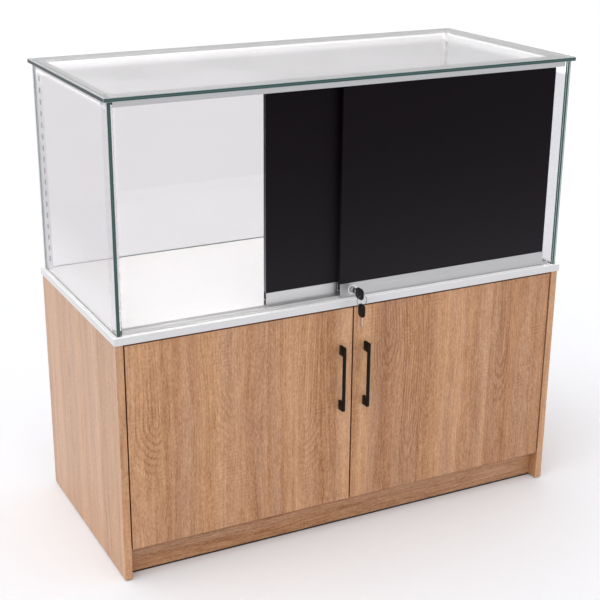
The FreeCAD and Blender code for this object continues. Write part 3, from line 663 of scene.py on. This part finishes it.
OAK_BOARDS: dict[str, tuple[Grain, Colour]] = {
    "left_door": (Grain.UPRIGHT_FRONT, (1.61, 0.0, 0.02)),
    "right_door": (Grain.UPRIGHT_FRONT, (3.30, 0.4, 0.04)),
    "left_side_panel": (Grain.UPRIGHT_SIDE, (1.27, 0.9, 0.05)),
    "right_side_panel": (Grain.UPRIGHT_SIDE, (3.11, 1.3, 0.8)),
    "rear_panel": (Grain.UPRIGHT_FRONT, (5.2, 0.2, 2.6)),
    "centre_partition": (Grain.UPRIGHT_SIDE, (4.4, 0.7, 3.1)),
    "front_plinth": (Grain.LEVEL_FRONT, (0.6, 2.2, 0.9)),
    "bottom_board": (Grain.LEVEL_TOP, (7.3, 0.1, 0.5)),
    "front_stretcher": (Grain.LEVEL_TOP, (6.1, 0.3, 0.2)),
    "rear_stretcher": (Grain.LEVEL_TOP, (6.7, 0.6, 1.2)),
    "left_shelf": (Grain.LEVEL_TOP, (8.2, 0.8, 0.7)),
    "right_shelf": (Grain.LEVEL_TOP, (9.4, 0.5, 1.9)),
}
DOOR = "_door"
# The side boards are the same oak as the doors; their lighter dark paints part of the sheen the sides catch.
SIDE_OAK_LIGHT: Colour = (0.655, 0.37, 0.198)
SIDE_OAK_DARK: Colour = (0.34, 0.14, 0.046)
SIDE_OAK_RINGS: float = 0.18
SIDE_OAK_COAT: float = 0.5
PLINTH_OAK_RINGS: float = 0.1
# How far inside a door's faces the painted shade on its edges starts.
GAP_SHADE_INSET: float = 0.4 * MM

# Painted shade: below its top face the deck board turns a darker grey, for the shade on its front edge and
# sides.
WHITE_BOARD = PaintedFootFinish(
    "white_board", (0.93, 0.925, 0.93), (0.915, 0.91, 0.915), 0.32, 0.42, even(40.0),
    painted_foot_tone=(0.685, 0.68, 0.69), top=0.5398, foot=0.5390,
)
# Painted reflection: the black panels grow lighter towards their foot, from the default foot colour.
BLACK_BOARD = PaintedFootFinish(
    "black_board", (0.0039, 0.0017, 0.0039), (0.0029, 0.001, 0.0029), 0.44, 0.52, even(25.0), specular=0.08,
)
ANODISED = MottledFinish(
    "anodised_aluminium", (0.55, 0.545, 0.55), (0.49, 0.485, 0.49), 0.34, 0.46, (6.0, 420.0, 420.0), 1.0,
    relief=0.06,
)
# Painted light: a lighter copy of the same aluminium, for the inner rail.
PAINTED_LIGHT_ANODISED = replace(
    ANODISED, name="anodised_painted_light", light=(0.68, 0.675, 0.68), dark=(0.61, 0.605, 0.61),
)
# The bottom track's streaks are its brushing; their dark is deepened to paint the shade along the track's
# rear lip.
PALE_ANODISED = MottledFinish(
    "pale_anodised", (0.82, 0.815, 0.82), (0.48, 0.475, 0.48), 0.34, 0.46, (4.0, 260.0, 260.0), relief=0.06,
)
# The standards take painted shade inside their tubes.
STANDARD_PAINT = HollowFinish("standard_paint", (0.76, 0.76, 0.765), (0.71, 0.71, 0.715), 0.3, 0.42)
# Painted glow: the channels' foot turns white and gives off light, for the lamps' light showing through them.
CHANNEL = PaintedGlowFinish(
    "light_channel", (0.50, 0.50, 0.51), (0.45, 0.45, 0.46), 0.3, 0.42,
    painted_foot_tone=even(0.95), top=0.989, foot=0.9855,
)
GLOW = GlowFinish("light_diffuser")
WHITE_PLASTIC = MottledFinish("white_plastic", (0.78, 0.78, 0.77), (0.72, 0.72, 0.71), 0.38, 0.5)
CAP_PLASTIC = MottledFinish(
    "cap_plastic", (0.15, 0.15, 0.155), (0.12, 0.12, 0.125), 0.4, 0.55, even(90.0), specular=0.2,
)
BLACK_PLASTIC = MottledFinish(
    "black_plastic", (0.0095, 0.0078, 0.008), (0.006, 0.0048, 0.005), 0.34, 0.46, even(300.0), specular=0.16,
)
BLACK_METAL = MottledFinish(
    "black_metal", (0.0072, 0.0052, 0.0046), (0.0046, 0.0032, 0.003), 0.36, 0.48, even(120.0), specular=0.13,
)
STEEL = MottledFinish("steel", (0.62, 0.62, 0.61), (0.52, 0.52, 0.51), 0.24, 0.36, even(260.0), 1.0)
RING_STEEL = MottledFinish("ring_steel", (0.2, 0.2, 0.205), (0.09, 0.09, 0.095), 0.2, 0.34, even(260.0), 1.0)
CHROME = MottledFinish("chrome", (0.74, 0.74, 0.75), (0.68, 0.68, 0.69), 0.07, 0.14, even(150.0), 1.0)
# Painted reflections: the lock barrel's chrome is mottled with near-black for the dark things it mirrors.
PAINTED_REFLECTION_CHROME = MottledFinish("chrome_painted_reflections", (0.8, 0.8, 0.81), (0.1, 0.1, 0.105), 0.08, 0.2, even(170.0), 1.0)
NYLON = MottledFinish("nylon", even(0.045), even(0.032), 0.4, 0.55, even(200.0))
# The dark strip along the plinth's foot.
FOOT_STRIP_DARK = MottledFinish(
    "foot_strip_dark", (0.030, 0.021, 0.016), (0.020, 0.014, 0.011), 0.6, 0.75, specular=0.1,
)
# Painted reflection: the inner panel's near-black edging turns grey towards its foot.
PANEL_EDGING = PaintedFootFinish(
    "panel_edging", (0.03, 0.029, 0.03), (0.024, 0.023, 0.024), 0.45, 0.6, (90.0, 90.0, 30.0), specular=0.08,
    painted_foot_tone=(0.20, 0.195, 0.20), top=0.95, foot=0.58,
)
FLOOR_WHITE = MottledFinish(
    "floor_white", (0.922, 0.933, 0.964), (0.912, 0.923, 0.954), 0.6, 0.7, even(3.0), specular=0.1,
)
EDGE_LIGHT: Colour = (0.060, 0.108, 0.100)
EDGE_DARK: Colour = (0.026, 0.056, 0.053)
# Painted reflections along the middle of the glass edges; the edges' own colour is the green mottle above.
EDGE_CORE: Colour = (0.074, 0.125, 0.117)
EDGE_PALE_CORE: Colour = (0.55, 0.68, 0.65)
EDGE_SHADED = MottledFinish(
    "edge_shaded", (0.036, 0.042, 0.044), (0.014, 0.018, 0.020), 0.2, 0.35, (4.0, 4.0, 420.0), specular=0.1,
)
# Painted light: the rear pane's upright end faces are pale.
EDGE_PALE = MottledFinish(
    "edge_pale", (0.62, 0.64, 0.65), (0.36, 0.38, 0.39), 0.2, 0.35, (420.0, 420.0, 4.0), specular=0.3,
)
# The pale arris is the frosting of the ground arris with a painted highlight along it.
GLASS_ARRIS = MottledFinish(
    "glass_arris", (0.40, 0.49, 0.48), (0.28, 0.36, 0.35), 0.1, 0.2, even(90.0), specular=0.4,
)
# Painted shade: the right pane's arrises are darkened to the edge's green.
SHADED_ARRIS = MottledFinish("arris_painted_shade", EDGE_LIGHT, EDGE_DARK, 0.15, 0.3, even(90.0), specular=0.15)
# Painted glow: the jamb strips glow a faint teal towards +X.
JAMB_CLEAR = PaintedGlowGlassFinish(
    "jamb_clear", (0.895, 0.875, 0.885), (0.875, 0.855, 0.865), ior=1.2,
    painted_shine=(0.006, 0.0145, 0.0125), axis=Axis.X, start=0.0, end=0.1,
)
# The four panes are one glass: their differing tints are painted light and shade; the top pane darkens
# towards +X with painted shade, the left pane clears towards its foot with painted light.
GLASS_TOP = ClearGlassFinish(
    "glass_top", (0.88, 0.87, 0.875), (0.74, 0.73, 0.735), painted_light_shade_drift=(Axis.X, -0.2, 0.35, (0.66, 0.65, 0.655)),
)
# Painted glow near the tops of the upright panes, where the light runs' band shows through them.
GLASS_LEFT = PaintedGlowGlassFinish(
    "glass_left", (0.785, 0.77, 0.77), (0.77, 0.755, 0.755), painted_light_shade_drift=(Axis.Z, 0.70, 0.57, (0.93, 0.92, 0.925)),
    painted_shine=even(0.06), start=0.979, end=0.984,
)
GLASS_RIGHT = PaintedGlowGlassFinish(
    "glass_right", (0.85, 0.845, 0.855), (0.84, 0.835, 0.845), painted_shine=even(0.42), start=0.964, end=0.975,
)
GLASS_REAR = PaintedGlowGlassFinish("glass_rear", (0.812, 0.785, 0.783), (0.797, 0.770, 0.768))


def oak_for(node: str) -> OakFinish:
    """The oak finish of one board.

    Args:
        node: the board's node name.

    Returns:
        Oak with that board's grain and its own place in the figure.
    """
    grain, shift = OAK_BOARDS[node]
    oak = OakFinish("oak_" + node, grain, shift)
    if grain is Grain.UPRIGHT_SIDE:
        return replace(
            oak, light=SIDE_OAK_LIGHT, dark=SIDE_OAK_DARK, rings=SIDE_OAK_RINGS, coat=SIDE_OAK_COAT
        )
    if grain is Grain.LEVEL_FRONT:
        return replace(oak, rings=PLINTH_OAK_RINGS)
    # Doors take painted shade on their edge faces.
    if node.endswith(DOOR):
        low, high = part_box(node)
        return replace(oak, band=(low.y + GAP_SHADE_INSET, high.y - GAP_SHADE_INSET))
    return oak


# Meshes in the making


class Solid:
    """A mesh in the making, shaped in metres with bmesh operators."""

    def __init__(self) -> None:
        """Starts with an empty mesh."""
        self.bm: BMesh = bmesh.new()

    def block(self, low: Vector, high: Vector) -> None:
        """Adds a rectangular block between two corners."""
        middle = Matrix.Translation((low + high) / 2.0)
        size = Matrix.Diagonal((*(high - low), 1.0))
        bmesh.ops.create_cube(self.bm, size=1.0, matrix=middle @ size)

    def bevel(self, items: Sequence[Union[BMEdge, BMVert]], width: float, steps: int = 1,
              affect: str = "EDGES") -> None:
        """Rounds or eases edges or corners.

        Args:
            items: the edges or corners.
            width: how far the bevel reaches.
            steps: how many faces it has; one is a plain chamfer.
            affect: EDGES or VERTICES.
        """
        bmesh.ops.bevel(
            self.bm, geom=items, offset=width, offset_type="OFFSET", segments=steps, profile=0.5,
            affect=affect, material=-1,
        )

    def outline(self, points: Sequence[Point], x: float, corners: Optional[dict[int, float]] = None) -> None:
        """Draws one flat face across X, with chosen corners rounded.

        Args:
            points: its corners as Y and Z.
            x: where it stands.
            corners: corner index to rounding width.
        """
        verts = [self.bm.verts.new((x, y, z)) for y, z in points]
        self.bm.faces.new(verts)
        for index, width in (corners or {}).items():
            self.bevel([verts[index]], width, CORNER_STEPS, "VERTICES")

    def pierce(self, y: float, z: float, radius: float) -> None:
        """Makes a round hole in the flat faces drawn so far.

        Args:
            y: the hole's place on Y.
            z: the hole's place on Z.
            radius: the hole's radius.
        """
        x = self.bm.verts[:][0].co.x
        bmesh.ops.delete(self.bm, geom=self.bm.faces[:], context="FACES_ONLY")
        stand = Matrix.Translation((x, y, z)) @ Matrix.Rotation(QUARTER_TURN, 4, "Y")
        bmesh.ops.create_circle(self.bm, cap_ends=False, segments=HOLE_STEPS, radius=radius, matrix=stand)
        bmesh.ops.triangle_fill(self.bm, use_beauty=True, use_dissolve=False, edges=self.bm.edges[:])

    def thicken(self, depth: float) -> None:
        """Draws the flat faces out along X by a depth, into a closed body."""
        made = bmesh.ops.extrude_face_region(self.bm, geom=self.bm.faces[:])["geom"]
        verts = [item for item in made if isinstance(item, BMVert)]
        bmesh.ops.translate(self.bm, verts=verts, vec=(depth, 0.0, 0.0))
        bmesh.ops.recalc_face_normals(self.bm, faces=self.bm.faces[:])

    def rims(self) -> list[BMEdge]:
        """The edges where a flat end across X meets a side wall."""
        found = []
        for edge in self.bm.edges:
            if len(edge.link_faces) == 2:
                first, second = (abs(face.normal.x) for face in edge.link_faces)
                if abs(first - second) > RIM_LIMIT:
                    found.append(edge)
        return found

    def turned(self, profile: Sequence[Point], x: float, z: float) -> None:
        """Turns a closed profile about a line along Y.

        Args:
            profile: corners as radius and Y.
            x: the line's place on X.
            z: the line's place on Z.
        """
        verts = [self.bm.verts.new((x + radius, y, z)) for radius, y in profile]
        edges = [self.bm.edges.new((verts[i - 1], verts[i])) for i in range(len(verts))]
        bmesh.ops.spin(
            self.bm, geom=verts + edges, cent=(x, 0.0, z), axis=(0.0, 1.0, 0.0), dvec=(0.0, 0.0, 0.0),
            angle=FULL_TURN, steps=TURN_STEPS, use_merge=True,
        )
        bmesh.ops.remove_doubles(self.bm, verts=self.bm.verts[:], dist=WELD)
        bmesh.ops.recalc_face_normals(self.bm, faces=self.bm.faces[:])

    def publish(self, name: str, body: str, finishes: Sequence[Finish],
                replaced: Sequence[str] = ()) -> None:
        """Makes the mesh a piece that rides on a body.

        Args:
            name: the piece's name.
            body: the body that it moves with.
            finishes: its finishes by material index.
            replaced: the nodes that it stands for.
        """
        mesh = bpy.data.meshes.new(name)
        self.bm.to_mesh(mesh)
        self.bm.free()
        mesh.shade_smooth()
        mesh.set_sharp_from_angle(angle=SHARP_ANGLE)
        for finish in finishes:
            mesh.materials.append(finish.material())
        piece = bpy.data.objects.new(name, mesh)
        bpy.context.scene.collection.objects.link(piece)
        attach(piece, body)
        if replaced:
            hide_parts(*replaced)
        LOG.info("piece %s on %s, %d faces", name, body, len(mesh.polygons))


def dress(finishes: dict[str, Finish]) -> None:
    """Gives CAD nodes their finishes.

    Args:
        finishes: node name to finish.
    """
    for node, finish in finishes.items():
        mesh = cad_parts[node].data
        mesh.materials.clear()
        mesh.materials.append(finish.material())
        LOG.info("node %s in %s", node, finish.name)


# Sub-assemblies


@dataclass
class Cupboard:
    """The oak-look carcass with its white deck, shelves, glides and hinge ironwork."""

    strip_inset: float = 0.5 * MM
    strip_depth: float = 0.9 * MM
    strip_air: float = 0.02 * MM
    strip_lift: float = 0.2 * MM
    strip_height: float = 3.0 * MM
    strip_edge: float = 0.2 * MM
    strip_steps: int = 2

    def build(self) -> None:
        """Dresses the carcass, which keeps its CAD shapes."""
        dress({node: oak_for(node) for node in OAK_BOARDS if not node.endswith(DOOR)})
        dress({
            "deck_board": WHITE_BOARD,
            "shelf_pins": STEEL,
            "floor_glides": NYLON,
            "hinge_plates": STEEL,
            "hinge_arms": STEEL,
        })
        self.foot_strip()

    def foot_strip(self) -> None:
        """Makes a dark strip along the plinth's foot."""
        low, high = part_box("front_plinth")
        lip = Solid()
        lip.block(
            Vector((low.x + self.strip_inset, low.y - self.strip_depth, self.strip_lift)),
            Vector((high.x - self.strip_inset, low.y - self.strip_air, self.strip_lift + self.strip_height)),
        )
        lip.bevel(lip.bm.edges[:], self.strip_edge, self.strip_steps)
        lip.publish("plinth_foot_strip", "cabinet", [FOOT_STRIP_DARK])


@dataclass
class CupboardDoor:
    """One hinged door with its bow handle."""

    side: str
    leg: float = 20.5 * MM
    bar: float = 5.0 * MM
    outer_corner: float = 2.5 * MM
    inner_corner: float = 1.6 * MM
    edge: float = 0.7 * MM

    def build(self) -> None:
        """Makes the handle and dresses the door."""
        door = self.side + DOOR
        low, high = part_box(self.side + "_handle")
        face, front = high.y, low.y
        inside = front + self.bar
        points = [
            (face, low.z), (front, low.z), (front, high.z), (face, high.z),
            (face, high.z - self.leg), (inside, high.z - self.leg),
            (inside, low.z + self.leg), (face, low.z + self.leg),
        ]
        corners = {1: self.outer_corner, 2: self.outer_corner, 5: self.inner_corner, 6: self.inner_corner}
        handle = Solid()
        handle.outline(points, low.x, corners)
        handle.thicken(high.x - low.x)
        handle.bevel(handle.rims(), self.edge, ROUND_STEPS)
        name = self.side + "_bow_handle"
        handle.publish(name, door, [BLACK_METAL], [self.side + "_handle"])
        dress({
            door: oak_for(door),
            self.side + "_handle_screws": STEEL,
            self.side + "_hinge_cups": STEEL,
            self.side + "_hinge_pins": STEEL,
        })


@dataclass(frozen=True)
class Pane:
    """One pane: its piece, its node, the axis through the glass and what sets it apart."""

    name: str
    node: str
    thin: Axis
    clear: ClearGlassFinish
    arris: MottledFinish = GLASS_ARRIS
    core: Colour = EDGE_CORE
    core_shift: float = 0.0


@dataclass
class GlassCase:
    """The four panes, the jambs beside them and the slotted standards."""

    arris: float = 0.7 * MM
    bond: float = 0.04 * MM
    streak: float = 420.0
    run: float = 4.0
    panes: tuple[Pane, ...] = (
        Pane("top_pane", "top_glass", Axis.Z, GLASS_TOP),
        Pane("left_pane", "left_glass", Axis.X, GLASS_LEFT),
        # The right pane takes painted shade on its arrises and a pale painted reflection along the core of
        # its edges.
        Pane("right_pane", "right_glass", Axis.X, GLASS_RIGHT, SHADED_ARRIS, EDGE_PALE_CORE, 1.2 * MM),
        Pane("rear_pane", "rear_glass", Axis.Y, GLASS_REAR),
    )

    def build(self) -> None:
        """Makes the panes and dresses what stands beside them."""
        for pane in self.panes:
            self.glaze(pane)
        dress({"jamb_strips": JAMB_CLEAR, "left_standard": STANDARD_PAINT, "right_standard": STANDARD_PAINT})

    def glaze(self, pane: Pane) -> None:
        """Makes one pane with polished edges and eased arrises.

        Args:
            pane: what the pane is.
        """
        low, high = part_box(pane.node)
        through = pane.thin.value
        level = pane.thin is Axis.Z
        edge = EdgeFinish(
            "edge_" + pane.name, EDGE_LIGHT, EDGE_DARK,
            spots=(self.run, self.run, self.streak) if level else (self.streak, self.streak, self.run),
            axis=pane.thin, core_at=((low + high) / 2.0)[through] + pane.core_shift, core=pane.core,
        )
        margin = Vector(even(self.bond))
        glass = Solid()
        glass.block(low + margin, high - margin)
        glass.bevel(glass.bm.edges[:], self.arris)
        for face in glass.bm.faces:
            facing = [abs(part) > FLAT for part in face.normal]
            kind = PaneFace.ARRIS
            if facing[through]:
                kind = PaneFace.CLEAR
            elif any(facing):
                kind = PaneFace.END if facing[Axis.X.value] else PaneFace.EDGE
            face.material_index = kind.value
        finishes = [pane.clear, edge, pane.arris, EDGE_SHADED if level else EDGE_PALE]
        glass.publish(pane.name, "cabinet", finishes, [pane.node])


@dataclass
class Lighting:
    """The three light runs under the top pane and their driver."""

    def build(self) -> None:
        """Dresses the light runs, which keep their CAD shapes."""
        dress({
            "light_channels": CHANNEL,
            "light_diffusers": GLOW,
            "led_boards": WHITE_PLASTIC,
            "light_end_caps": CAP_PLASTIC,
            "led_driver": WHITE_PLASTIC,
        })


@dataclass
class SlidingDoors:
    """The two black sliding panels with their rails, rollers and tracks."""

    edging: float = 0.3 * MM
    edging_air: float = 0.02 * MM
    edging_inset: float = 0.2 * MM
    edging_edge: float = 0.08 * MM

    def build(self) -> None:
        """Dresses the sliding doors and gives the inner panel its dark edging, with a painted reflection that
        turns it grey towards its foot.
        """
        low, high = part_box("inner_door_panel")
        rail_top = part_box("inner_door_rail")[1].z
        band = Solid()
        band.block(
            Vector((low.x - self.edging, low.y + self.edging_inset, rail_top + self.edging_inset)),
            Vector((low.x - self.edging_air, high.y - self.edging_inset, high.z - self.edging_inset)),
        )
        band.bevel(band.bm.edges[:], self.edging_edge)
        band.publish("inner_panel_edging", "inner_door", [PANEL_EDGING])
        dress({"top_track": ANODISED, "bottom_track": PALE_ANODISED, "inner_door_strike": STEEL})
        # the inner rail takes the lighter copy: painted light
        for name, metal in (("outer", ANODISED), ("inner", PAINTED_LIGHT_ANODISED)):
            dress({
                name + "_door_panel": BLACK_BOARD,
                name + "_door_rail": metal,
                name + "_roller_axles": STEEL,
                name + "_left_roller": NYLON,
                name + "_right_roller": NYLON,
            })


@dataclass(frozen=True)
class Key:
    """One key: the start of its nodes' and pieces' names, and the axis that it points along."""

    body: str
    title: str
    along: Axis


@dataclass
class LockAndKeys:
    """The push lock on the outer rail with its key, ring and spare key."""

    bow_nip: float = 5.0 * MM
    bow_round: float = 2.0 * MM
    bow_edge: float = 0.7 * MM
    hole_radius: float = 2.5 * MM
    hole_margin: float = 4.0 * MM
    sleeve: float = 8.0 * MM
    seat: float = 2.0 * MM
    barrel: float = 6.0 * MM
    barrel_bore: float = 6.06 * MM
    plug_bore: float = 4.05 * MM
    rosette_mouth: tuple[Point, ...] = ((0.0, 1.1), (0.9, 0.5))
    rosette_rim: tuple[Point, ...] = ((2.6, 0.0), (1.2, 0.2), (0.3, 0.8), (0.0, 1.5))
    barrel_mouth: tuple[Point, ...] = ((0.0, 0.5), (0.4, 0.1), (0.7, 0.0))
    barrel_rim: tuple[Point, ...] = ((0.6, 0.0), (0.17, 0.17), (0.0, 0.6))
    blade_width: float = 6.5 * MM
    blade_edge: float = 0.15 * MM
    bite: float = 1.6 * MM
    cuts: tuple[Point, ...] = (
        (0.44, 0.0), (0.5, 0.7), (0.56, 0.35), (0.64, 1.0),
        (0.72, 0.55), (0.8, 0.9), (0.88, 0.3), (0.93, 0.3),
    )
    tip: tuple[Point, ...] = ((1.0, 0.36), (1.0, 0.64), (0.94, 1.0), (0.0, 1.0))
    wire: float = 0.42 * MM
    wire_sides: int = 10
    turn_steps: int = 72
    turns: int = 2

    def build(self) -> None:
        """Makes the lock, both keys and the ring."""
        self.housing()
        self.plunger()
        keys = (Key("key", "lock_key", Axis.Y), Key("spare_key", "hanging_key", Axis.Z))
        for key in keys:
            self.bow(key)
        for key in keys:
            self.blade(key)
        self.ring()
        dress({"lock_plug": CHROME})

    @staticmethod
    def front(face: float, bore: float, mouth: Sequence[Point], wide: float,
              rim: Sequence[Point]) -> list[Point]:
        """The front of a turned profile; mouth and rim are millimetres off the bore or rim, and back."""
        inner = [(bore + out * MM, face + back * MM) for out, back in mouth]
        return inner + [(wide - inward * MM, face + back * MM) for inward, back in rim]

    def housing(self) -> None:
        """Turns the rosette with its sleeve."""
        low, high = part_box("lock_housing")
        bore, wide = self.barrel_bore, (high.x - low.x) / 2.0
        seat = low.y + self.seat
        profile = self.front(low.y, bore, self.rosette_mouth, wide, self.rosette_rim)
        profile += [(wide, seat), (self.sleeve, seat), (self.sleeve, high.y), (bore, high.y)]
        lock = Solid()
        lock.turned(profile, (low.x + high.x) / 2.0, (low.z + high.z) / 2.0)
        lock.publish("lock_rosette", "outer_door", [CHROME], ["lock_housing"])

    def plunger(self) -> None:
        """Turns the push barrel that holds the plug."""
        low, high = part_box("lock_plunger")
        bore, wide = self.plug_bore, self.barrel
        profile = self.front(low.y, bore, self.barrel_mouth, wide, self.barrel_rim)
        profile += [(wide, high.y), (bore, high.y)]
        barrel = Solid()
        barrel.turned(profile, (low.x + high.x) / 2.0, (low.z + high.z) / 2.0)
        barrel.publish("lock_barrel", "lock_plunger", [PAINTED_REFLECTION_CHROME], ["lock_plunger"])

    def bow(self, key: Key) -> None:
        """Makes the moulded head of a key.

        Args:
            key: which key.
        """
        node = key.body + "_bow"
        low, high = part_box(node)
        nip = self.bow_nip
        points = [
            (low.y + nip, low.z), (high.y - nip, low.z), (high.y, low.z + nip), (high.y, high.z - nip),
            (high.y - nip, high.z), (low.y + nip, high.z), (low.y, high.z - nip), (low.y, low.z + nip),
        ]
        hole = (low.y + self.hole_margin, (low.z + high.z) / 2.0)
        if key.along is Axis.Z:
            hole = ((low.y + high.y) / 2.0, high.z - self.hole_margin)
        head = Solid()
        head.outline(points, low.x, {index: self.bow_round for index in range(len(points))})
        head.pierce(*hole, self.hole_radius)
        head.thicken(high.x - low.x)
        head.bevel(head.rims(), self.bow_edge, ROUND_STEPS)
        head.publish(key.title + "_bow", key.body, [BLACK_PLASTIC], [node])

    def blade(self, key: Key) -> None:
        """Makes the cut blade of a key.

        Args:
            key: which key.
        """
        node = key.body + "_blade"
        low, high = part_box(node)
        length = (high - low)[key.along.value]
        shape = [(0.0, 0.0), *((share * length, depth * self.bite) for share, depth in self.cuts)]
        shape += [(share * length, part * self.blade_width) for share, part in self.tip]
        if key.along is Axis.Y:
            points = [(low.y + run, high.z - side) for run, side in shape]
        else:
            points = [(high.y - side, high.z - run) for run, side in shape]
        steel = Solid()
        steel.outline(points, low.x)
        steel.thicken(high.x - low.x)
        steel.bevel(steel.rims(), self.blade_edge)
        steel.publish(key.title + "_blade", key.body, [STEEL], [node])

    def ring(self) -> None:
        """Winds the split ring as two turns of wire."""
        low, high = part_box("key_ring")
        middle = (low + high) / 2.0
        radius = (high.x - low.x) / 2.0 - self.wire
        steps = self.turns * self.turn_steps
        coil = Solid()
        start = Matrix.Translation((middle.x + radius, middle.y - self.wire, middle.z))
        bmesh.ops.create_circle(
            coil.bm, cap_ends=True, segments=self.wire_sides, radius=self.wire, matrix=start
        )
        bmesh.ops.spin(
            coil.bm, geom=coil.bm.verts[:] + coil.bm.edges[:] + coil.bm.faces[:], cent=tuple(middle),
            axis=(0.0, 1.0, 0.0), dvec=(0.0, 2.0 * self.wire / steps, 0.0), angle=self.turns * FULL_TURN,
            steps=steps, use_merge=False,
        )
        bmesh.ops.recalc_face_normals(coil.bm, faces=coil.bm.faces[:])
        coil.publish("split_key_ring", "key_ring", [RING_STEEL], ["key_ring"])


@dataclass
class Studio:
    """A pale floor, soft light and the camera at the photograph's angle."""

    floor_half: float = 25.0
    sky: float = 0.80
    sky_tint: Colour = (1.0, 0.995, 1.0)
    wall: float = 1.0
    wall_tint: Colour = even(1.0)
    sun_power: float = 1.15
    sun_width: float = 70.0
    sun_path: Colour = (0.46, 0.16, -0.87)
    stand: Colour = (-1.2603, -2.4370, 1.4458)
    aim: Colour = (0.41011, 0.84372, -0.34633)
    sensor: float = 36.0
    lens: float = 76.98
    shift: Point = (0.049, 0.0164)
    far: float = 200.0

    def build(self) -> None:
        """Sets the floor, the light and the camera."""
        self.floor()
        self.light()
        self.camera()

    def floor(self) -> None:
        """Lays the floor, which is stage and not part of the counter."""
        mesh = bpy.data.meshes.new("studio_floor")
        bm = bmesh.new()
        bmesh.ops.create_grid(bm, x_segments=1, y_segments=1, size=self.floor_half)
        bm.to_mesh(mesh)
        bm.free()
        mesh.materials.append(FLOOR_WHITE.material())
        floor = bpy.data.objects.new("studio_floor", mesh)
        bpy.context.scene.collection.objects.link(floor)

    def light(self) -> None:
        """Sets the white surround and one wide soft sun from the upper left."""
        scene = bpy.context.scene
        scene.view_settings.view_transform = "Standard"
        world = bpy.data.worlds.new("studio_white")
        world.use_nodes = True
        bench = Bench(world.node_tree)
        air = bench.add("Background", {"Color": self.sky_tint, "Strength": self.sky}).outputs[0]
        wall = bench.add("Background", {"Color": self.wall_tint, "Strength": self.wall}).outputs[0]
        mixed = bench.by_ray("Is Camera Ray", "Is Transmission Ray", wall, air)
        bench.add("OutputWorld", {"Surface": mixed})
        scene.world = world
        lamp = bpy.data.lights.new("soft_sun", "SUN")
        lamp.energy = self.sun_power
        lamp.angle = math.radians(self.sun_width)
        sun = bpy.data.objects.new("soft_sun", lamp)
        sun.rotation_euler = Vector(self.sun_path).to_track_quat("-Z", "Y").to_euler()
        scene.collection.objects.link(sun)

    def camera(self) -> None:
        """Stands the camera where the photograph was taken from."""
        scene = bpy.context.scene
        data = bpy.data.cameras.new("photo_camera")
        data.sensor_fit = "HORIZONTAL"
        data.sensor_width = self.sensor
        data.lens = self.lens
        data.shift_x, data.shift_y = self.shift
        data.clip_end = self.far
        camera = bpy.data.objects.new("photo_camera", data)
        low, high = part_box("deck_board")
        camera.location = Vector(self.stand) + Vector((0.0, (low.y + high.y) / 2.0, 0.0))
        camera.rotation_euler = Vector(self.aim).to_track_quat("-Z", "Y").to_euler()
        scene.collection.objects.link(camera)
        scene.camera = camera


def main() -> None:
    """Builds the studio and every sub-assembly in order."""
    logging.basicConfig(level=logging.INFO, format="%(name)s: %(message)s")
    parts = (
        Studio(), Cupboard(), CupboardDoor("left"), CupboardDoor("right"), GlassCase(), Lighting(),
        SlidingDoors(), LockAndKeys(),
    )
    for part in parts:
        part.build()
        LOG.info("built %s", type(part).__name__)


if __name__ == "__main__":
    main()
